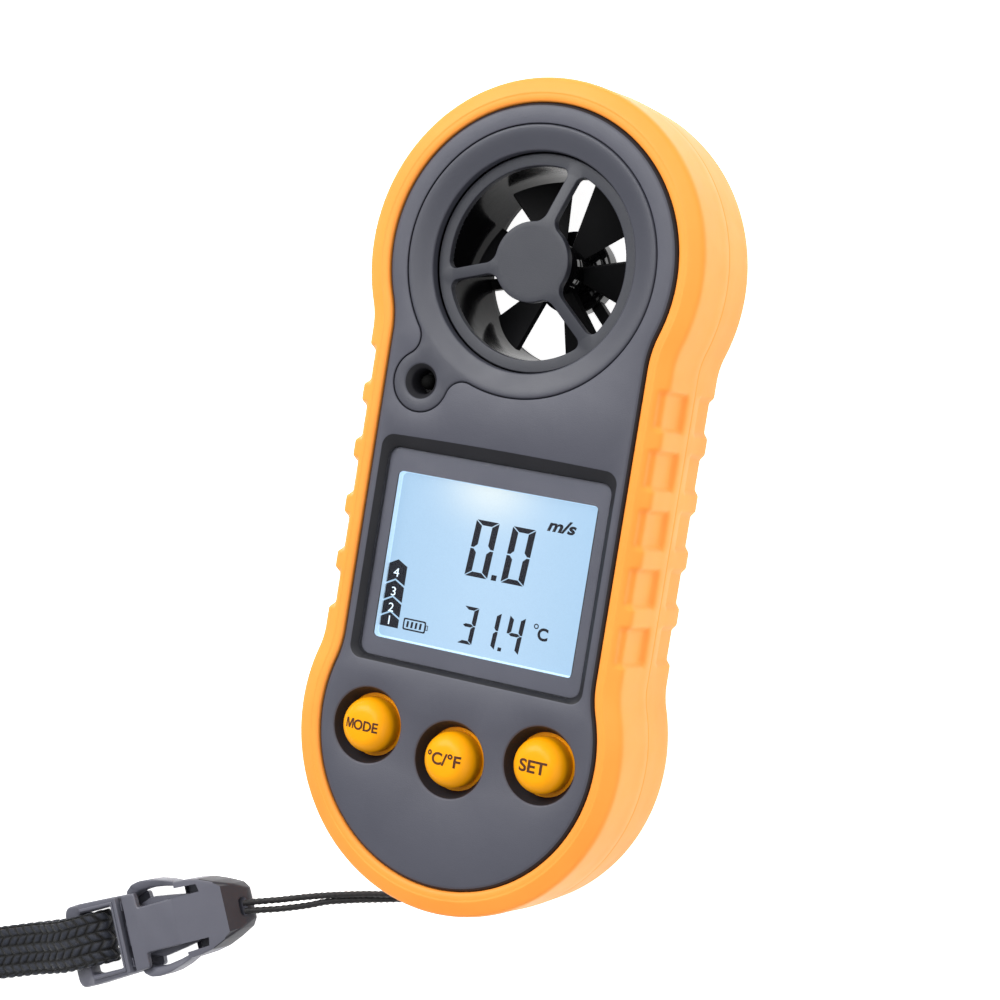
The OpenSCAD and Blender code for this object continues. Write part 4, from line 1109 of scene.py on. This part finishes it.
def build_socket():
    """Nose facet, cheeks, a long slot each side, and a rear plate over the arms."""
    right = [(0, 2.9), (1.6, 4.3), (4.5, 5.6), (7.6, 6.7), (10.5, 7.2), (14.2, 7.4), (14.2, 4.4),
             (22.3, 4.35), (22.5, 7.2), (25.7, 7.35)]
    radii = [0.4, 1.0, 5, 5, 5, 0.3, 0.4, 0.6, 0.6, 0.35]
    loop = fillet((right + mirrored(right))[::-1], (radii + radii[::-1])[::-1], 6)
    crown = lambda u, v: min(6.6 - 0.006 * v * v, 1.9 + 1.55 * max(u, 0.0))
    base = lambda u, v: max(0.0, 0.9 - 0.6 * max(u, 0.0))
    ribs = ((1.5, 3.8), (2.98, 4.3), (3.06, 4.3), (5, 4.6), (9, 3.9), (14, 3.9), (18, 3.9), (24, 6.5))
    b = Build()
    plate(b, loop, [], crown, base, 0.32, cuts=[[(u, -w), (u, w)] for u, w in ribs])
    socket = make("socket_shell", b, BUCKLE, "case", 30, "buckle_socket")
    recess = [(7.8, 4.35), (14.8, 4.35), (14.8, 8.2), (13.25, 8.2), (13.25, 6.1), (8.2, 5.85)]
    for outline, low, high in (
        (box(8, 40, -2.9, 2.9), 1.5, 5.1), (box(22.2, 40, -9, -3.2), 1.3, 5.35),
        (box(22.2, 40, 3.2, 9), 1.3, 5.35), ([(u, -v) for u, v in recess], 1.35, 9), (recess, 1.35, 9),
    ):
        cut(socket, buckle_place(lift(outline, low)), buckle_place(lift(outline, high)))
    hole = rounded(1.75, 2.6, 4.0, 0.68, 6)
    cut(socket, *(buckle_place([(u, v + 0.3, z) for v, z in hole]) for u in (-1, 4)))
    shade(socket.data, 30)

    # Painted shade: faces near the nose that turn away from the strap take the darker colour
    def nose_face_in_shade(centre, normal):
        along = (centre.x - NOSE[0]) * ALONG[0] + (centre.y - NOSE[1]) * ALONG[1]
        return along < 9 and normal.x * ALONG[0] + normal.y * ALONG[1] < -0.2

    second_material(socket, NOSE_PAINTED_SHADE, nose_face_in_shade)


def build_frame():
    """Collar, side legs and outer bar round the strap's window, with a tongue and two guides."""
    b = Build()
    legs = fillet([(27.1, -7.5), (36.6, -7.95), (41.3, -7.9), (41.3, 7.9), (36.6, 7.95), (27.1, 7.5)],
                  [0.5, 3, 2.4, 2.4, 3, 0.5], 7)
    window = fillet(box(28.9, 37.0, -6.0, 6.0), 0.8, 5)
    top = lambda u, v: 5.65 - 1.15 * step(u, 36.0, 37.8) - 0.7 * step(u, 39.0, 41.5)
    low = lambda u, v: 0.6 + 1.2 * step(u, 36.4, 37.4)
    plate(b, legs, [window], top, low, 0.5)
    lip = [(28.2, -6.75), (36.2, -6.9), (36.2, -6.25), (28.75, -6.15)]
    plate(b, fillet(lip + mirrored(lip), 0.3, 3), [], 5.95, 5.0, 0.22)
    plate(b, fillet(box(27.1, 28.0, -7.35, 7.35), 0.3, 3), [], 6.2, 0.6, 0.25)
    plate(b, fillet(box(9.2, 27.4, -2.3, 2.3), 0.3, 3), [], 4.4, 2.2, 0.2)
    guide = fillet([(11.5, 3.5), (26.9, 3.5), (26.9, 4.3), (23.2, 5.0), (20.5, 5.75), (16, 5.15),
                    (12, 4.5)], 0.3, 3)
    stub = fillet(box(26.9, 27.4, 4.55, 6.35), 0.1, 2)
    for flip in (list, mirrored):
        plate(b, flip(guide), [], 3.6, 2.0, 0.15)
        plate(b, flip(stub), [], 4.9, 1.7, 0.1)
    make("frame_ring", b, BUCKLE, "case", 34, "buckle_frame")


def build_arms():
    outer = [(26.5, 6.2), (25.2, 6.9), (24.9, 8.0), (23.5, 8.85), (21.2, 9.2), (18.6, 8.95), (16, 8.25),
             (13.45, 7.35)]
    inner = [(13.45, 6.45), (16, 7.0), (19, 7.4), (22, 7.35), (24.4, 6.5), (26.5, 5.0)]
    arm = fillet(outer + inner, [0.4, 0.6, 1, 3, 5, 5, 4, 0.4, 0.3, 3, 3, 3, 2, 0.4], 6)
    tall = lambda u, v: 5.1 + 0.6 * step(abs(v), 7.3, 8.2) * (1 - step(u, 22.6, 24.6))
    deep = lambda u, v: 1.6 - 0.5 * step(abs(v), 7.3, 8.4)
    for side, loop in (("left", mirrored(arm)), ("right", arm)):
        b = Build()
        plate(b, loop, [], tall, deep, 0.3)
        make("arm_" + side, b, BUCKLE, side + "_prong", 34, "buckle_prong_" + side)


build_socket()
build_frame()
build_arms()


# ---------- carried-over CAD pieces

# The thermistor's near-black material is partly its own colour and partly painted shade for the hole it
# sits in
DRESS = (
    (REAR_BLACK, "rear_shell battery_cover"), (GLOSS_BLACK, "duct_front duct_rear"),
    (BLADE_BLACK, "rear_grille impeller"), (THERMISTOR_BLACK_AND_HOLE_SHADE, "thermistor"), (MAGNET, "impeller_magnet"),
    (STEEL, "impeller_shaft switch_left switch_middle switch_right crystal contact_springs"
            " contact_plates case_screws board_screws lanyard_pin"),
    (BRASS, "front_bearing rear_bearing"), (CHIP, "pickup_sensor lcd_frame display_driver buzzer"),
    (FOAM, "lens_gasket"), (LCD, "lcd_glass"), (GUIDE, "lcd_backlight"), (ZEBRA, "zebra_strip"),
    (BOARD, "main_board"), (CERAMIC, "capacitors"),
    (JACKET, "battery_cell_left battery_cell_middle battery_cell_right"),
)
for material, names in DRESS:
    for name in names.split():
        nodes[name].data.materials.clear()
        nodes[name].data.materials.append(material)


# ---------- stage and light

def build_stage():
    mesh = bpy.data.meshes.new("floor")
    mesh.from_pydata(lift(box(-3.0, 3.0, -3.0, 3.0), 0), [], [(0, 1, 2, 3)])
    floor = put("floor", mesh)
    floor.location.z = -0.0002
    s = Shader("floor_pale", Roughness=0.7, Specular_IOR_Level=0.1, Emission_Color=(1, 1, 1, 1),
               Emission_Strength=0.95)
    s.color(s.noise(3), (0.86, 0.86, 0.86), (0.88, 0.88, 0.88))
    mesh.materials.append(s.mat)


def area_light(name, place, size, power):
    """A rectangular lamp turned to the origin."""
    data = bpy.data.lights.new(name, "AREA")
    data.shape = "RECTANGLE"
    data.size, data.size_y = size
    data.energy = power
    ob = put(name, data)
    ob.location = place
    ob.rotation_euler = (-Vector(place)).to_track_quat("-Z", "Y").to_euler()


def build_light():
    world = bpy.data.worlds.new("studio")
    world.use_nodes = True
    background = world.node_tree.nodes["Background"].inputs
    background["Color"].default_value = (1, 1, 1, 1)
    background["Strength"].default_value = 0.55
    scene.world = world
    area_light("key", (-0.55, 0.55, 0.75), (0.7, 0.7), 9.5)
    area_light("fill", (0.9, -0.25, 0.55), (0.9, 0.7), 1.6)
    area_light("top", (0.0, 0.45, 1.1), (0.8, 0.8), 6.0)


build_stage()
build_light()
